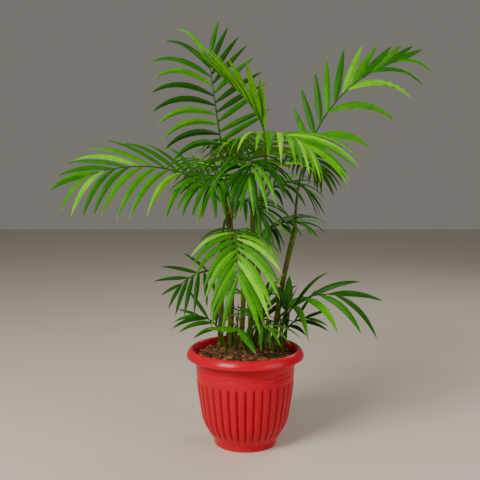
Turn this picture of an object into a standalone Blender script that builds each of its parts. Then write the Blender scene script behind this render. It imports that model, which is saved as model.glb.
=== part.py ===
"""A potted areca palm: a clump of leaning canes, arching feather fronds and a fluted plastic pot.

Units are metres and degrees, +Z is up. The origin is the middle of the pot's flat underside. The side
that shows in the photograph faces -Y. A heading is an angle in the ground plane: 0 is +X and 90 is +Y.
"""

import math
import random
from collections import namedtuple

import bmesh
import bpy
from mathutils import Vector
from mathutils.bvhtree import BVHTree

UP = Vector((0.0, 0.0, 1.0))

# Touching pieces keep this clearance, and corners closer than this are one
GAP = 0.0003
MERGE = 0.000002

# The pot
POT_HEIGHT = 0.240
RIM_RADIUS = 0.150
RIM_DEPTH = 0.022
MOUTH_RADIUS = 0.132
FOOT_RADIUS = 0.0800
FOOT_HEIGHT = 0.014
WALL = 0.0040
FLOOR_THICKNESS = 0.0050
FLUTES = 36
FLUTE_DEPTH = 0.0020
FLUTE_TOP = 0.166
FLUTE_BOTTOM = 0.026

# The bowl of the pot between its foot and its rim: height and outer radius
BOWL = [
    (0.020, 0.0862),
    (0.034, 0.0945),
    (0.052, 0.1045),
    (0.070, 0.1106),
    (0.099, 0.1155),
    (0.130, 0.1205),
    (0.160, 0.1234),
    (0.172, 0.1245),
]

# Heights at which the inside wall follows the bowl
INSIDE_HEIGHTS = (0.099, 0.052, 0.020)

# The potting mix fills the pot to here
SOIL_TOP = 0.222

# Canes: foot on the mix, tip of the axis, sideways bow at mid height, radius at foot and tip
CANES = {
    "cane_left_main": dict(
        foot=(-0.040, 0.066), tip=(-0.041, 0.058, 0.580), bow=(0.004, 0.0), radii=(0.0085, 0.0062),
    ),
    "cane_left_outer": dict(
        foot=(-0.067, 0.060), tip=(-0.066, 0.070, 0.415), bow=(0.003, 0.0), radii=(0.0080, 0.0058),
    ),
    "cane_right": dict(
        foot=(0.074, 0.052), tip=(0.130, 0.040, 0.535), bow=(-0.007, 0.0), radii=(0.0080, 0.0058),
    ),
    "cane_back_left": dict(
        foot=(0.012, 0.092), tip=(0.020, 0.086, 0.600), bow=(0.003, 0.0), radii=(0.0075, 0.0052),
    ),
    "cane_back_right": dict(
        foot=(0.040, 0.082), tip=(0.039, 0.078, 0.612), bow=(-0.004, 0.0), radii=(0.0075, 0.0052),
    ),
    "cane_centre": dict(
        foot=(-0.012, 0.040), tip=(-0.004, 0.046, 0.430), bow=(0.002, 0.0), radii=(0.0075, 0.0054),
    ),
}
CANE_SIDES = 8
CANE_RINGS = 7
FLARE = 0.35
FLARE_HEIGHT = 0.022

# Each side of a frond. count: how many leaflets. leaf: length of the longest. foot, tip, ease: the angle
# to the rib at the frond's foot and tip, and how late it changes. rise: lift over the blade.
# sag: how far they bend down.
Side = namedtuple("Side", "count leaf foot tip ease rise sag")

# Fronds. seat: the cane that carries the stem and the share of its height, or a place on the mix.
# heading, lift: the stem's first direction. bow, ease: how far it arches over, and how late.
# swing: how far the heading turns. stem, blade: lengths. roll: turn of the blade about its rib.
# left, right: the leaflets of each side, seen from the stem with the upper face up.
# broad: width of the leaflets beside the usual. ends: length of the first and last leaflets.
FRONDS = {
    "top_left": dict(
        seat=("cane_left_main", 1.0), heading=140, lift=88, bow=17, ease=0.4, swing=-30,
        stem=0.180, blade=0.266, roll=0, left=Side(10, 0.208, 84, 22, 2.2, 6, 1.1),
        right=Side(10, 0.190, 62, 14, 2.0, 6, 0.2), tone="deep", ends=(0.95, 0.66),
    ),
    "top_bright": dict(
        seat=("cane_back_right", 1.0), heading=-8, lift=84, bow=50, ease=1.15, swing=-230, stem=0.190,
        blade=0.200, roll=0, left=Side(6, 0.180, 8, 14, 1, 20, 0.1), right=Side(5, 0.185, 12, 8, 1, 20, 0.1),
        tone="bright", broad=1.25, ends=(0.8, 0.7),
    ),
    "left": dict(
        seat=("cane_left_main", 0.985), heading=-156, lift=88, bow=108, ease=0.5, swing=-4, stem=0.065,
        blade=0.36, roll=-45, left=Side(11, 0.195, 60, 16, 0.9, 8, 2.0),
        right=Side(11, 0.180, 44, 15, 0.8, 8, 0.6), tone="mid",
    ),
    "right": dict(
        seat=("cane_right", 1.0), heading=40, lift=89, bow=72, ease=1.1, swing=-26, stem=0.220, blade=0.390,
        roll=50, left=Side(11, 0.174, 42, 8, 0.8, 12, 0.1), right=Side(5, 0.205, 58, 9, 0.7, 8, 1.3),
        tone="mid", broad=1.25,
    ),
    "centre_front": dict(
        seat=("cane_left_main", 0.955), heading=-60, lift=88, bow=122, ease=1.05, swing=6,
        stem=0.15, blade=0.300,
        roll=-6, left=Side(12, 0.220, 74, 18, 0.9, 14, 1.1), right=Side(12, 0.200, 70, 14, 0.9, 6, 1.5),
        tone="bright",
    ),
    "front_hanging": dict(
        seat=("cane_left_main", 0.80), heading=-81, lift=57, bow=125, ease=0.67, swing=-9, stem=0.10,
        blade=0.165, roll=0, left=Side(9, 0.170, 64, 26, 0.9, 12, 1.5),
        right=Side(9, 0.165, 66, 26, 0.9, 12, 1.5), tone="bright", broad=1.05, ends=(0.85, 0.85),
    ),
    "low_left": dict(
        seat=("cane_left_outer", 1.0), heading=-140, lift=62, bow=100, ease=0.4, swing=-20,
        stem=0.03, blade=0.10,
        roll=-50, left=Side(6, 0.122, 80, 15, 1, 5, 0.8), right=Side(4, 0.105, 60, 18, 1, 5, 0.3),
        tone="deep",
    ),
    "low_right": dict(
        seat=(0.094, 0.050), heading=-73, lift=88, bow=98, ease=1.2, swing=71, stem=0.07, blade=0.185,
        roll=45, left=Side(4, 0.145, 24, 2, 1, 5, 0.6), right=Side(5, 0.150, 62, 18, 1, 5, 1.6),
        tone="deep",
        ends=(0.7, 1.0),
    ),
    "back": dict(
        seat=("cane_back_left", 0.97), heading=110, lift=86, bow=112, ease=0.9, swing=-20,
        stem=0.11, blade=0.33,
        roll=0, left=Side(11, 0.170, 68, 18, 1, 12, 1.4), right=Side(11, 0.170, 68, 18, 1, 12, 1.4),
        tone="deep",
    ),
    "back_left": dict(
        seat=("cane_left_main", 0.93), heading=112, lift=84, bow=120, ease=0.9, swing=-6,
        stem=0.12, blade=0.31,
        roll=0, left=Side(10, 0.165, 66, 16, 1, 12, 1.1), right=Side(10, 0.165, 66, 16, 1, 12, 1.1),
        tone="mid",
    ),
    "back_right": dict(
        seat=("cane_back_right", 0.96), heading=50, lift=82, bow=122, ease=0.8, swing=12,
        stem=0.12, blade=0.31,
        roll=0, left=Side(11, 0.165, 66, 16, 1, 12, 1.3), right=Side(11, 0.165, 66, 16, 1, 12, 1.5),
        tone="deep",
    ),
    "low_back": dict(
        seat=("cane_centre", 1.0), heading=95, lift=80, bow=135, ease=0.8, swing=5, stem=0.12, blade=0.22,
        roll=0, left=Side(8, 0.145, 66, 14, 1, 12, 1.2), right=Side(8, 0.145, 66, 14, 1, 12, 1.2),
        tone="mid",
    ),
    "centre_right": dict(
        seat=("cane_back_right", 0.93), heading=2, lift=84, bow=145, ease=1.3, swing=4,
        stem=0.050, blade=0.125,
        roll=20, left=Side(6, 0.135, 70, 14, 1, 5, 1.0), right=Side(7, 0.140, 80, 10, 1, 5, 1.5),
        tone="deep",
    ),
    "centre_low": dict(
        seat=("cane_left_outer", 0.96), heading=-84, lift=87, bow=165, ease=2.4, swing=56,
        stem=0.235, blade=0.105,
        roll=12, left=Side(6, 0.135, 52, 10, 1, 5, 1.3), right=Side(6, 0.140, 58, 12, 1, 5, 1.6),
        tone="deep",
    ),
    "centre_left": dict(
        seat=("cane_left_main", 0.90), heading=-118, lift=80, bow=138, ease=2.0, swing=20, stem=0.13,
        blade=0.11, roll=0, left=Side(6, 0.160, 66, 12, 1, 5, 1.7), right=Side(6, 0.160, 66, 12, 1, 5, 1.7),
        tone="mid", broad=1.15,
    ),
    "centre_back": dict(
        seat=("cane_back_left", 1.0), heading=-82, lift=88, bow=140, ease=1.0, swing=-20,
        stem=0.10, blade=0.19,
        roll=0, left=Side(8, 0.170, 70, 14, 1, 0, 2.2), right=Side(8, 0.170, 70, 14, 1, 0, 2.2),
        tone="deep",
    ),
    "centre_dark": dict(
        seat=("cane_centre", 0.96), heading=-20, lift=86, bow=95, ease=1.2, swing=-10,
        stem=0.10, blade=0.13,
        roll=10, left=Side(6, 0.130, 66, 14, 1, 10, 1.0), right=Side(6, 0.135, 70, 14, 1, 10, 1.4),
        tone="deep",
    ),
    "low_left_small": dict(
        seat=(-0.052, 0.040), heading=165, lift=84, bow=75, ease=1.3, swing=30, stem=0.055, blade=0.07,
        roll=-50, left=Side(4, 0.120, 60, 12, 1, 5, 0.7), right=Side(3, 0.110, 55, 14, 1, 5, 0.2),
        tone="deep",
    ),
    "low_right_small": dict(
        seat=(0.098, 0.068), heading=-40, lift=86, bow=85, ease=1.3, swing=30, stem=0.05, blade=0.07,
        roll=40, left=Side(3, 0.110, 55, 12, 1, 5, 0.2), right=Side(3, 0.110, 55, 12, 1, 5, 0.7),
        tone="deep",
    ),
    "low_centre_right": dict(
        seat=(0.050, 0.022), heading=110, lift=87, bow=35, ease=1.3, swing=-30, stem=0.075, blade=0.065,
        roll=0, left=Side(4, 0.120, 60, 10, 1, 5, 0.3), right=Side(4, 0.120, 60, 10, 1, 5, 0.6),
        tone="deep",
        broad=1.3,
    ),
    "low_front": dict(
        seat=(0.020, 0.022), heading=-65, lift=88, bow=112, ease=1.4, swing=10, stem=0.085, blade=0.050,
        roll=0, left=Side(4, 0.105, 62, 16, 1, 5, 1.2), right=Side(4, 0.105, 62, 16, 1, 5, 1.2),
        tone="deep", broad=1.2,
    ),
    "low_middle": dict(
        seat=(0.002, 0.014), heading=-75, lift=88, bow=125, ease=1.6, swing=20, stem=0.115, blade=0.045,
        roll=0, left=Side(2, 0.100, 50, 14, 1, 5, 1.4), right=Side(3, 0.100, 54, 14, 1, 5, 1.4),
        tone="deep",
    ),
    "young_shoot": dict(
        seat=(0.088, 0.018), heading=20, lift=88, bow=20, ease=1.2, swing=-20, stem=0.105, blade=0.030,
        roll=80, left=Side(2, 0.076, 40, 12, 1, 8, 0.4), right=Side(1, 0.074, 40, 16, 1, 8, 0.6),
        tone="deep", broad=2.6, ends=(1.0, 1.0),
    ),
    "front_shoot": dict(
        seat=(-0.026, 0.004), heading=-100, lift=86, bow=150, ease=2.2, swing=30, stem=0.108, blade=0.022,
        roll=0, left=Side(1, 0.090, 14, 14, 1, 5, 0.4), right=Side(1, 0.078, 92, 92, 1, 5, 0.1),
        tone="bright", broad=2.4, ends=(1.0, 1.0),
    ),
}

# Stems, ribs and leaflets. A leaflet's width and ridge are shares of its length, and its outline
# is the share of that width at shares of the length.
STEM_RADIUS = 0.0030
RIB_RADIUS = 0.0024
RIB_TIP_RADIUS = 0.0009
STEM_RINGS = 4
RIB_RINGS = 8
FIRST_LEAFLET = 0.006
LAST_LEAFLET = 0.004
LONGEST_AT = 0.4
ENDS = (0.70, 0.58)
LEAF_WIDTH = 0.104
LEAF_OUTLINE = ((0.0, 0.0), (0.33, 1.0), (0.70, 0.72), (1.0, 0.0))
LEAF_STEPS = 4
LEAF_THICKNESS = 0.0115
JITTER = 4.0
CLEARANCE = 0.0006

# A leaflet that would come within CLEARANCE of another piece is tried again with these turns:
# rise, spread, share of length
TRIES = [
    (0, 0, 1.0), (10, 0, 1.0), (-10, 0, 1.0), (0, 7, 1.0), (0, -7, 1.0), (18, 6, 1.0), (-18, -6, 1.0),
    (28, -8, 0.95), (-28, 8, 0.95), (14, 10, 0.8), (-14, -10, 0.8), (36, 0, 0.75),
    (0, 14, 0.65), (0, -14, 0.65), (22, 0, 0.5), (-22, 0, 0.5),
]

# Ways to join a blade, tried in order until the mesh is sound: solver and merge distance
UNIONS = [("EXACT", MERGE), ("MANIFOLD", MERGE), ("EXACT", 5 * MERGE), ("MANIFOLD", 0.1 * MERGE)]

COLOURS = {
    "pot": ((0.62, 0.018, 0.022), 0.28),
    "mix": ((0.050, 0.026, 0.015), 0.95),
    "cane": ((0.16, 0.20, 0.045), 0.55),
    "stem": ((0.05, 0.13, 0.02), 0.50),
    "deep": ((0.016, 0.125, 0.018), 0.42),
    "mid": ((0.035, 0.20, 0.022), 0.42),
    "bright": ((0.12, 0.36, 0.022), 0.42),
}


def clear_scene():
    """Leaves the file empty, so that the script can be run again."""
    for thing in list(bpy.data.objects):
        bpy.data.objects.remove(thing, do_unlink=True)


def finish(name):
    """The Principled material with a part's colour and roughness."""
    if name in bpy.data.materials:
        return bpy.data.materials[name]
    colour, roughness = COLOURS[name]
    material = bpy.data.materials.new(name)
    material.use_nodes = True
    shader = material.node_tree.nodes["Principled BSDF"]
    shader.inputs["Base Color"].default_value = (*colour, 1.0)
    shader.inputs["Roughness"].default_value = roughness
    shader.inputs["Metallic"].default_value = 0.0
    return material


def add_object(name, mesh, tone, sharp=40):
    """Puts a mesh in the scene under its node's name, smooth but for its sharp edges."""
    mesh.materials.clear()
    mesh.materials.append(finish(tone))
    mesh.shade_smooth()
    mesh.set_sharp_from_angle(angle=math.radians(sharp))
    thing = bpy.data.objects.new(name, mesh)
    bpy.context.scene.collection.objects.link(thing)
    return thing


def mix(a, b, share):
    """The value that lies a share of the way from a to b."""
    return a + (b - a) * share


# The pot and its filling


def turned(name, profile, tone, columns, shape=None):
    """Spins a profile of height and radius about Z in so many columns."""
    bm = bmesh.new()
    points = [bm.verts.new((radius, 0.0, height)) for height, radius in profile]
    for lower, upper in zip(points, points[1:]):
        bm.edges.new((lower, upper))
    bmesh.ops.spin(
        bm, geom=bm.verts[:] + bm.edges[:], cent=(0, 0, 0), axis=(0, 0, 1), angle=math.tau,
        steps=columns, use_merge=True,
    )
    bmesh.ops.remove_doubles(bm, verts=bm.verts[:], dist=0.00001)
    if shape:
        shape(bm)
    bmesh.ops.recalc_face_normals(bm, faces=bm.faces[:])
    mesh = bpy.data.meshes.new(name)
    bm.to_mesh(mesh)
    bm.free()
    return add_object(name, mesh, tone)


def cut_flutes(bm):
    """Draws every second column of the bowl inwards, with the flute fading out at both ends."""
    column = math.tau / (2 * FLUTES)
    for vert in bm.verts:
        radius = math.hypot(vert.co.x, vert.co.y)
        outside = radius > bowl_radius(vert.co.z) - 0.5 * WALL
        if not outside or not FLUTE_BOTTOM < vert.co.z < FLUTE_TOP:
            continue
        if round(math.atan2(vert.co.y, vert.co.x) / column) % 2 == 0:
            vert.co.xy *= 1 - FLUTE_DEPTH / radius


def bowl_radius(height):
    """Outer radius of the bowl at a height."""
    for (low, r_low), (high, r_high) in zip(BOWL, BOWL[1:]):
        if height <= high:
            return mix(r_low, r_high, (height - low) / (high - low))
    top, r_top = BOWL[-1]
    neck = POT_HEIGHT - RIM_DEPTH
    return mix(r_top, r_top + 0.0030, (height - top) / (neck - top))


def build_pot():
    """The fluted pot: flat foot, bowl, plain neck, turned-over rim and a plain inside."""
    neck = POT_HEIGHT - RIM_DEPTH
    outside = [(0.0, 0.0), (0.0, FOOT_RADIUS - 0.0025), (0.0020, FOOT_RADIUS - 0.0008)]
    outside += [(FOOT_HEIGHT, FOOT_RADIUS + 0.0010), *BOWL]
    outside += [(neck + 0.0015, bowl_radius(neck))]
    rim = [
        (neck, RIM_RADIUS - 0.0015),
        (neck + 0.0025, RIM_RADIUS),
        (neck + 0.0090, RIM_RADIUS - 0.0015),
        (POT_HEIGHT - 0.0060, RIM_RADIUS - 0.0055),
        (POT_HEIGHT, MOUTH_RADIUS + 0.0060),
        (POT_HEIGHT - 0.0030, MOUTH_RADIUS),
    ]
    inside = [(height, bowl_radius(height) - WALL) for height in (neck, *INSIDE_HEIGHTS)]
    inside += [(FLOOR_THICKNESS, FOOT_RADIUS - WALL), (FLOOR_THICKNESS, 0.0)]
    return turned("pot", outside + rim + inside, "pot", 2 * FLUTES, cut_flutes)


def build_mix():
    """The potting mix: one plug that fills the pot a little below its rim."""
    clear = GAP + 0.0001
    profile = [(SOIL_TOP, 0.0), (SOIL_TOP, bowl_radius(SOIL_TOP) - WALL - clear)]
    profile += [(height, bowl_radius(height) - WALL - clear) for height in INSIDE_HEIGHTS]
    floor = FLOOR_THICKNESS + clear
    profile += [(floor, FOOT_RADIUS - WALL - clear), (floor, 0.0)]
    return turned("potting_mix", profile, "mix", FLUTES)


# Round limbs


def tube(name, points, radii, sides, tone):
    """A tapering limb: a curve through the points, bevelled round and made a mesh with closed ends."""
    curve = bpy.data.curves.new(name, "CURVE")
    curve.dimensions = "3D"
    curve.bevel_depth = 1.0
    curve.bevel_resolution = (sides - 4) // 2
    curve.use_fill_caps = True
    spline = curve.splines.new("POLY")
    spline.points.add(len(points) - 1)
    for slot, point, radius in zip(spline.points, points, radii):
        slot.co = (*point, 1.0)
        slot.radius = radius
    guide = bpy.data.objects.new(name + "_guide", curve)
    bpy.context.scene.collection.objects.link(guide)
    evaluated = guide.evaluated_get(bpy.context.evaluated_depsgraph_get())
    mesh = bpy.data.meshes.new_from_object(evaluated)
    bpy.data.objects.remove(guide, do_unlink=True)
    bm = bmesh.new()
    bm.from_mesh(mesh)
    bmesh.ops.remove_doubles(bm, verts=bm.verts[:], dist=0.000001)
    bmesh.ops.recalc_face_normals(bm, faces=bm.faces[:])
    bm.to_mesh(mesh)
    bm.free()
    return add_object(name, mesh, tone)


def cane_point(cane, share):
    """The middle of a cane at a share of its height."""
    x, y, top = cane["tip"]
    foot = Vector((*cane["foot"], SOIL_TOP + GAP))
    straight = foot.lerp(Vector((x, y, top)), share)
    bend = math.sin(math.pi * share)
    return straight + Vector((cane["bow"][0] * bend, cane["bow"][1] * bend, 0.0))


def cane_radius(cane, share):
    """The cane's radius there: a true taper, flared where it meets the mix."""
    height = (cane["tip"][2] - SOIL_TOP) * share
    flare = 1 + FLARE * max(0.0, 1 - height / FLARE_HEIGHT) ** 1.5
    return mix(*cane["radii"], share) * flare


def build_cane(name):
    """One cane, from a level cut on the mix to its tip."""
    cane = CANES[name]
    height = cane["tip"][2] - SOIL_TOP
    shares = [0.0, 0.006 / height, 0.5 * FLARE_HEIGHT / height, FLARE_HEIGHT / height]
    shares += [mix(shares[-1], 1.0, ring / CANE_RINGS) for ring in range(1, CANE_RINGS + 1)]
    points = [cane_point(cane, share) for share in shares]
    points[1].xy = points[0].xy
    radii = [cane_radius(cane, share) for share in shares]
    return tube(name, points, radii, CANE_SIDES, "cane")


# The frond's rule


def rib_direction(frond, share):
    """The way the stem and rib run at a share of their length."""
    lift = math.radians(frond["lift"] - frond["bow"] * share ** frond["ease"])
    heading = math.radians(frond["heading"] + frond["swing"] * share)
    level = math.cos(lift)
    return Vector((level * math.cos(heading), level * math.sin(heading), math.sin(lift)))


def seat_point(frond):
    """Where a frond's stem begins: on the mix, on a cane's tip or beside a cane."""
    first = rib_direction(frond, 0.5 * frond["stem"] / (frond["stem"] + frond["blade"]) / STEM_RINGS)
    if not isinstance(frond["seat"][0], str):
        return Vector((*frond["seat"], SOIL_TOP + GAP + STEM_RADIUS * math.hypot(first.x, first.y)))
    cane = CANES[frond["seat"][0]]
    share = frond["seat"][1]
    middle = cane_point(cane, share)
    if share == 1.0:
        axis = (middle - cane_point(cane, 0.98)).normalized()
        return middle + axis * (GAP + STEM_RADIUS * first.cross(axis).length)
    heading = math.radians(frond["heading"])
    outward = Vector((math.cos(heading), math.sin(heading), 0.0))
    bark = bark_point(frond["seat"][0], middle + outward * 2 * cane_radius(cane, share), -outward)
    return bark + outward * (STEM_RADIUS * first.z + GAP + 0.0001)


def bark_point(name, start, inward):
    """Where a line from beside a built cane first meets it."""
    state = bpy.context.evaluated_depsgraph_get()
    found, point, _, _ = bpy.data.objects[name].ray_cast(start, inward, depsgraph=state)
    return point if found else start


def rib_curve(frond, steps=120):
    """The middle line of the stem and rib, one point for each small step."""
    length = frond["stem"] + frond["blade"]
    points = [seat_point(frond)]
    for step in range(steps):
        points.append(points[-1] + rib_direction(frond, (step + 0.5) / steps) * (length / steps))
    return points


def along(points, share):
    """The point at a share of a line's length."""
    place = min(max(share, 0.0), 1.0) * (len(points) - 1)
    index = min(int(place), len(points) - 2)
    return points[index].lerp(points[index + 1], place - index)


def stem_radius(share):
    """Radius of a stem at a share of its own length."""
    return mix(STEM_RADIUS, RIB_RADIUS, share)


def rib_radius(share):
    """Radius of a rib at a share of its own length."""
    return mix(RIB_RADIUS, RIB_TIP_RADIUS, share)


def leaf_share(share, ends):
    """Length of a leaflet beside the longest one, at a share of the blade."""
    if share < LONGEST_AT:
        return 1 - (1 - ends[0]) * ((LONGEST_AT - share) / LONGEST_AT) ** 1.5
    return 1 - (1 - ends[1]) * ((share - LONGEST_AT) / (1 - LONGEST_AT)) ** 1.8


def frond_frame(frond, share):
    """Directions at a share of the whole rib: along it, to its right and out of its upper face."""
    ahead = rib_direction(frond, share)
    upper = (UP - ahead * UP.dot(ahead)).normalized()
    right = ahead.cross(upper)
    roll = math.radians(frond["roll"])
    turned_upper = upper * math.cos(roll) + right * math.sin(roll)
    return ahead, ahead.cross(turned_upper), turned_upper


def leaflet(frond, curve, side, share, jitter, turn, grow=0.0):
    """Corners and faces of one leaflet: a flat-bottomed blade with a ridge, in three lengths and a tip."""
    rise_turn, spread_turn, length_share = turn
    whole = frond["stem"] + frond["blade"]
    place = mix(frond["stem"] + FIRST_LEAFLET, whole - LAST_LEAFLET, share) / whole
    ahead, right, upper = frond_frame(frond, place)
    kind = frond["left"] if side < 0 else frond["right"]
    spread = mix(kind.foot, kind.tip, share ** kind.ease) + spread_turn + jitter[0]
    rise = math.radians(kind.rise + rise_turn + jitter[1])
    spread = math.radians(max(spread, 8.0))
    out = right * side * math.cos(rise) + upper * math.sin(rise)
    first = ahead * math.cos(spread) + out * math.sin(spread)
    size = leaf_share(share, frond.get("ends", ENDS))
    length = kind.leaf * size * length_share * (1 + 0.012 * jitter[0])
    width = LEAF_WIDTH * kind.leaf * mix(size, 1.0, 0.65) * frond.get("broad", 1.0)
    sag = kind.sag * (1 + 0.05 * jitter[1])
    middle = along(curve, place)
    root = 0.5 * rib_radius(share)
    face = upper * math.cos(rise) - right * side * math.sin(rise)
    corners = []
    done = 0.0
    for station, wide in LEAF_OUTLINE:
        for step in range(LEAF_STEPS):
            here = mix(done, station, (step + 0.5) / LEAF_STEPS)
            way = (first - UP * sag * here ** 1.5).normalized()
            middle = middle + way * ((station - done) * length / LEAF_STEPS)
        done = station
        way = (first - UP * sag * station ** 1.5).normalized()
        normal = (face - way * face.dot(way)).normalized()
        across = way.cross(normal)
        if station == 1.0:
            corners.append(middle + way * grow)
            continue
        half = 0.5 * width * wide + grow if station else root
        ridge = LEAF_THICKNESS * kind.leaf * mix(1.0, 0.8, station) + grow if station else root
        corners.append(middle - across * half - normal * grow)
        corners.append(middle + across * half - normal * grow)
        corners.append(middle + normal * ridge)
    faces = [(0, 1, 2)]
    for ring in (0, 3):
        for edge in range(3):
            a = ring + edge
            b = ring + (edge + 1) % 3
            faces += [(a, a + 3, b + 3), (a, b + 3, b)]
    faces += [(6 + edge, 9, 6 + (edge + 1) % 3) for edge in range(3)]
    return corners, faces


def solid(name, corners, faces):
    """A closed mesh object from corners and faces."""
    mesh = bpy.data.meshes.new(name)
    mesh.from_pydata([tuple(corner) for corner in corners], [], faces)
    bm = bmesh.new()
    bm.from_mesh(mesh)
    bmesh.ops.recalc_face_normals(bm, faces=bm.faces[:])
    bm.to_mesh(mesh)
    bm.free()
    return bpy.data.objects.new(name, mesh)


def space_of(thing):
    """A finished piece as a search tree, which tells what would touch it."""
    corners = [vert.co for vert in thing.data.vertices]
    return BVHTree.FromPolygons(corners, [face.vertices for face in thing.data.polygons])


def place_leaflets(name, curve, taken):
    """Every leaflet of a frond that finds room, as corners and faces."""
    frond = FRONDS[name]
    chance = random.Random(name)
    placed = []
    for side in (-1, 1):
        count = (frond["left"] if side < 0 else frond["right"]).count
        for number in range(count):
            share = (number + (0.3 if side > 0 else 0.0)) / max(count - 0.7, 1)
            jitter = (chance.uniform(-JITTER, JITTER), chance.uniform(-JITTER, JITTER))
            for turn in TRIES:
                corners, faces = leaflet(frond, curve, side, share, jitter, turn, grow=CLEARANCE)
                shape = BVHTree.FromPolygons(corners, faces)
                if not any(shape.overlap(space) for space in taken):
                    placed.append(leaflet(frond, curve, side, share, jitter, turn))
                    break
    return placed


def is_sound(mesh):
    """Whether a mesh is one closed piece whose faces point outwards."""
    bm = bmesh.new()
    bm.from_mesh(mesh)
    closed = all(len(edge.link_faces) == 2 for edge in bm.edges)
    outward = bm.calc_volume(signed=True) > 0
    reached = set()
    waiting = bm.verts[:1]
    while waiting:
        vert = waiting.pop()
        if vert not in reached:
            reached.add(vert)
            waiting += [edge.other_vert(vert) for edge in vert.link_edges]
    whole = len(reached) == len(bm.verts)
    bm.free()
    return closed and outward and whole


def joined(rib, group, solver, merge):
    """The mesh of the rib and its leaflets after one Boolean union, in triangles."""
    union = rib.modifiers.new("leaflets", "BOOLEAN")
    union.operation = "UNION"
    union.operand_type = "COLLECTION"
    union.collection = group
    union.solver = solver
    evaluated = rib.evaluated_get(bpy.context.evaluated_depsgraph_get())
    mesh = bpy.data.meshes.new_from_object(evaluated)
    rib.modifiers.remove(union)
    bm = bmesh.new()
    bm.from_mesh(mesh)
    bmesh.ops.triangulate(bm, faces=bm.faces[:])
    bmesh.ops.remove_doubles(bm, verts=bm.verts[:], dist=merge)
    bm.to_mesh(mesh)
    bm.free()
    return mesh


def fuse(rib, leaflets, name, tone):
    """Joins the leaflets to their rib, and removes the pieces that they were."""
    group = bpy.data.collections.new(name + "_leaflets")
    for number, (corners, faces) in enumerate(leaflets):
        group.objects.link(solid(f"{name}_leaflet_{number}", corners, faces))
    bpy.context.scene.collection.children.link(group)
    for solver, merge in UNIONS:
        mesh = joined(rib, group, solver, merge)
        if is_sound(mesh):
            break
    for piece in list(group.objects):
        bpy.data.objects.remove(piece, do_unlink=True)
    bpy.data.collections.remove(group)
    bpy.data.objects.remove(rib, do_unlink=True)
    return add_object(name, mesh, tone)


def build_fronds(taken):
    """All stems, then all ribs, then the blades one by one, each clear of what stands already."""
    curves = {name: rib_curve(frond) for name, frond in FRONDS.items()}
    ribs = {}
    for name, frond in FRONDS.items():
        split = frond["stem"] / (frond["stem"] + frond["blade"])
        rings = [ring / STEM_RINGS for ring in range(STEM_RINGS + 1)]
        points = [along(curves[name], split * ring) for ring in rings]
        radii = [stem_radius(ring) for ring in rings]
        stem = tube("stem_" + name, points, radii, 6, "stem")
        taken.append(space_of(stem))
        rings = [ring / RIB_RINGS for ring in range(RIB_RINGS + 1)]
        ends = (points[-1] - points[-2]).normalized()
        points = [along(curves[name], mix(split, 1.0, ring)) for ring in rings]
        starts = (points[1] - points[0]).normalized()
        points[0] = points[0] + starts * (GAP + RIB_RADIUS * starts.cross(ends).length)
        radii = [rib_radius(ring) for ring in rings]
        ribs[name] = tube("rib_" + name, points, radii, 4, frond["tone"])
    rib_spaces = {name: space_of(rib) for name, rib in ribs.items()}
    blades = {}
    for name, frond in FRONDS.items():
        others = [space for other, space in rib_spaces.items() if other != name]
        leaflets = place_leaflets(name, curves[name], taken + others)
        blades[name] = fuse(ribs[name], leaflets, "frond_" + name, frond["tone"])
        taken.append(space_of(blades[name]))
        wanted = frond["left"].count + frond["right"].count
        print(f"{name}: {len(leaflets)} of {wanted} leaflets, {len(blades[name].data.polygons)} triangles")
    return blades


def main():
    clear_scene()
    standing = [build_pot(), build_mix()]
    standing += [build_cane(name) for name in CANES]
    build_fronds([space_of(thing) for thing in standing])


main()
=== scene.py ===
# %% [markdown]
# # A potted areca palm
#
# An areca palm grows as a clump of thin canes. Each cane ends in a smooth leaf sheath, and each frond is a
# stem, a rib and two rows of long folded leaflets. The plant stands in bark chips in a fluted plastic pot.
#
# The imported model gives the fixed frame: its solids say where each cane, stem and frond is. The cells
# below dress it, piece by piece, with finer meshes and with finishes made of shader nodes.

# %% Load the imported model
import math
import random
from collections import namedtuple
from itertools import chain, product

import bmesh
import bpy
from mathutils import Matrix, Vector
from mathutils.bvhtree import BVHTree


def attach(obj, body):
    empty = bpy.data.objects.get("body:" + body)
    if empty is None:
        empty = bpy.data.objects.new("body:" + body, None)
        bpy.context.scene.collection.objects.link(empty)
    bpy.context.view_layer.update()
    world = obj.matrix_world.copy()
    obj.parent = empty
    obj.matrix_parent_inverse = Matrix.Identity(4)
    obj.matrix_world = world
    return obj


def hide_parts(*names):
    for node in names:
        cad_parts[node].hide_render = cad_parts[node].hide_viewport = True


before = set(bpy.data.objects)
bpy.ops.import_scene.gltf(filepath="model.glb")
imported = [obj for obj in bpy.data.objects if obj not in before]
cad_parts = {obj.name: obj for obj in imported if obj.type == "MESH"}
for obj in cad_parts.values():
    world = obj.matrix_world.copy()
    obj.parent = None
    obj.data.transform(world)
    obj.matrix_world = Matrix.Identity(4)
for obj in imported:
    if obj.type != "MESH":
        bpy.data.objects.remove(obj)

UP = Vector((0.0, 0.0, 1.0))
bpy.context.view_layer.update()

# %% [markdown]
# ## The camera
#
# The photograph is taken from in front, a little above the middle of the plant, with the lens level. A
# level camera keeps the pot's sides and the canes upright in the picture, so the lens is shifted down
# instead of being tilted. The distance and the height come from the ellipses of the pot's rim and foot.

# %% Camera
PHOTO_SIDE = 480
FOCAL_PIXELS = 700.0
HORIZON_ROW = 175.0
SENSOR = 36.0
CAMERA_PLACE = (-0.0136, -1.795, 0.681)

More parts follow.
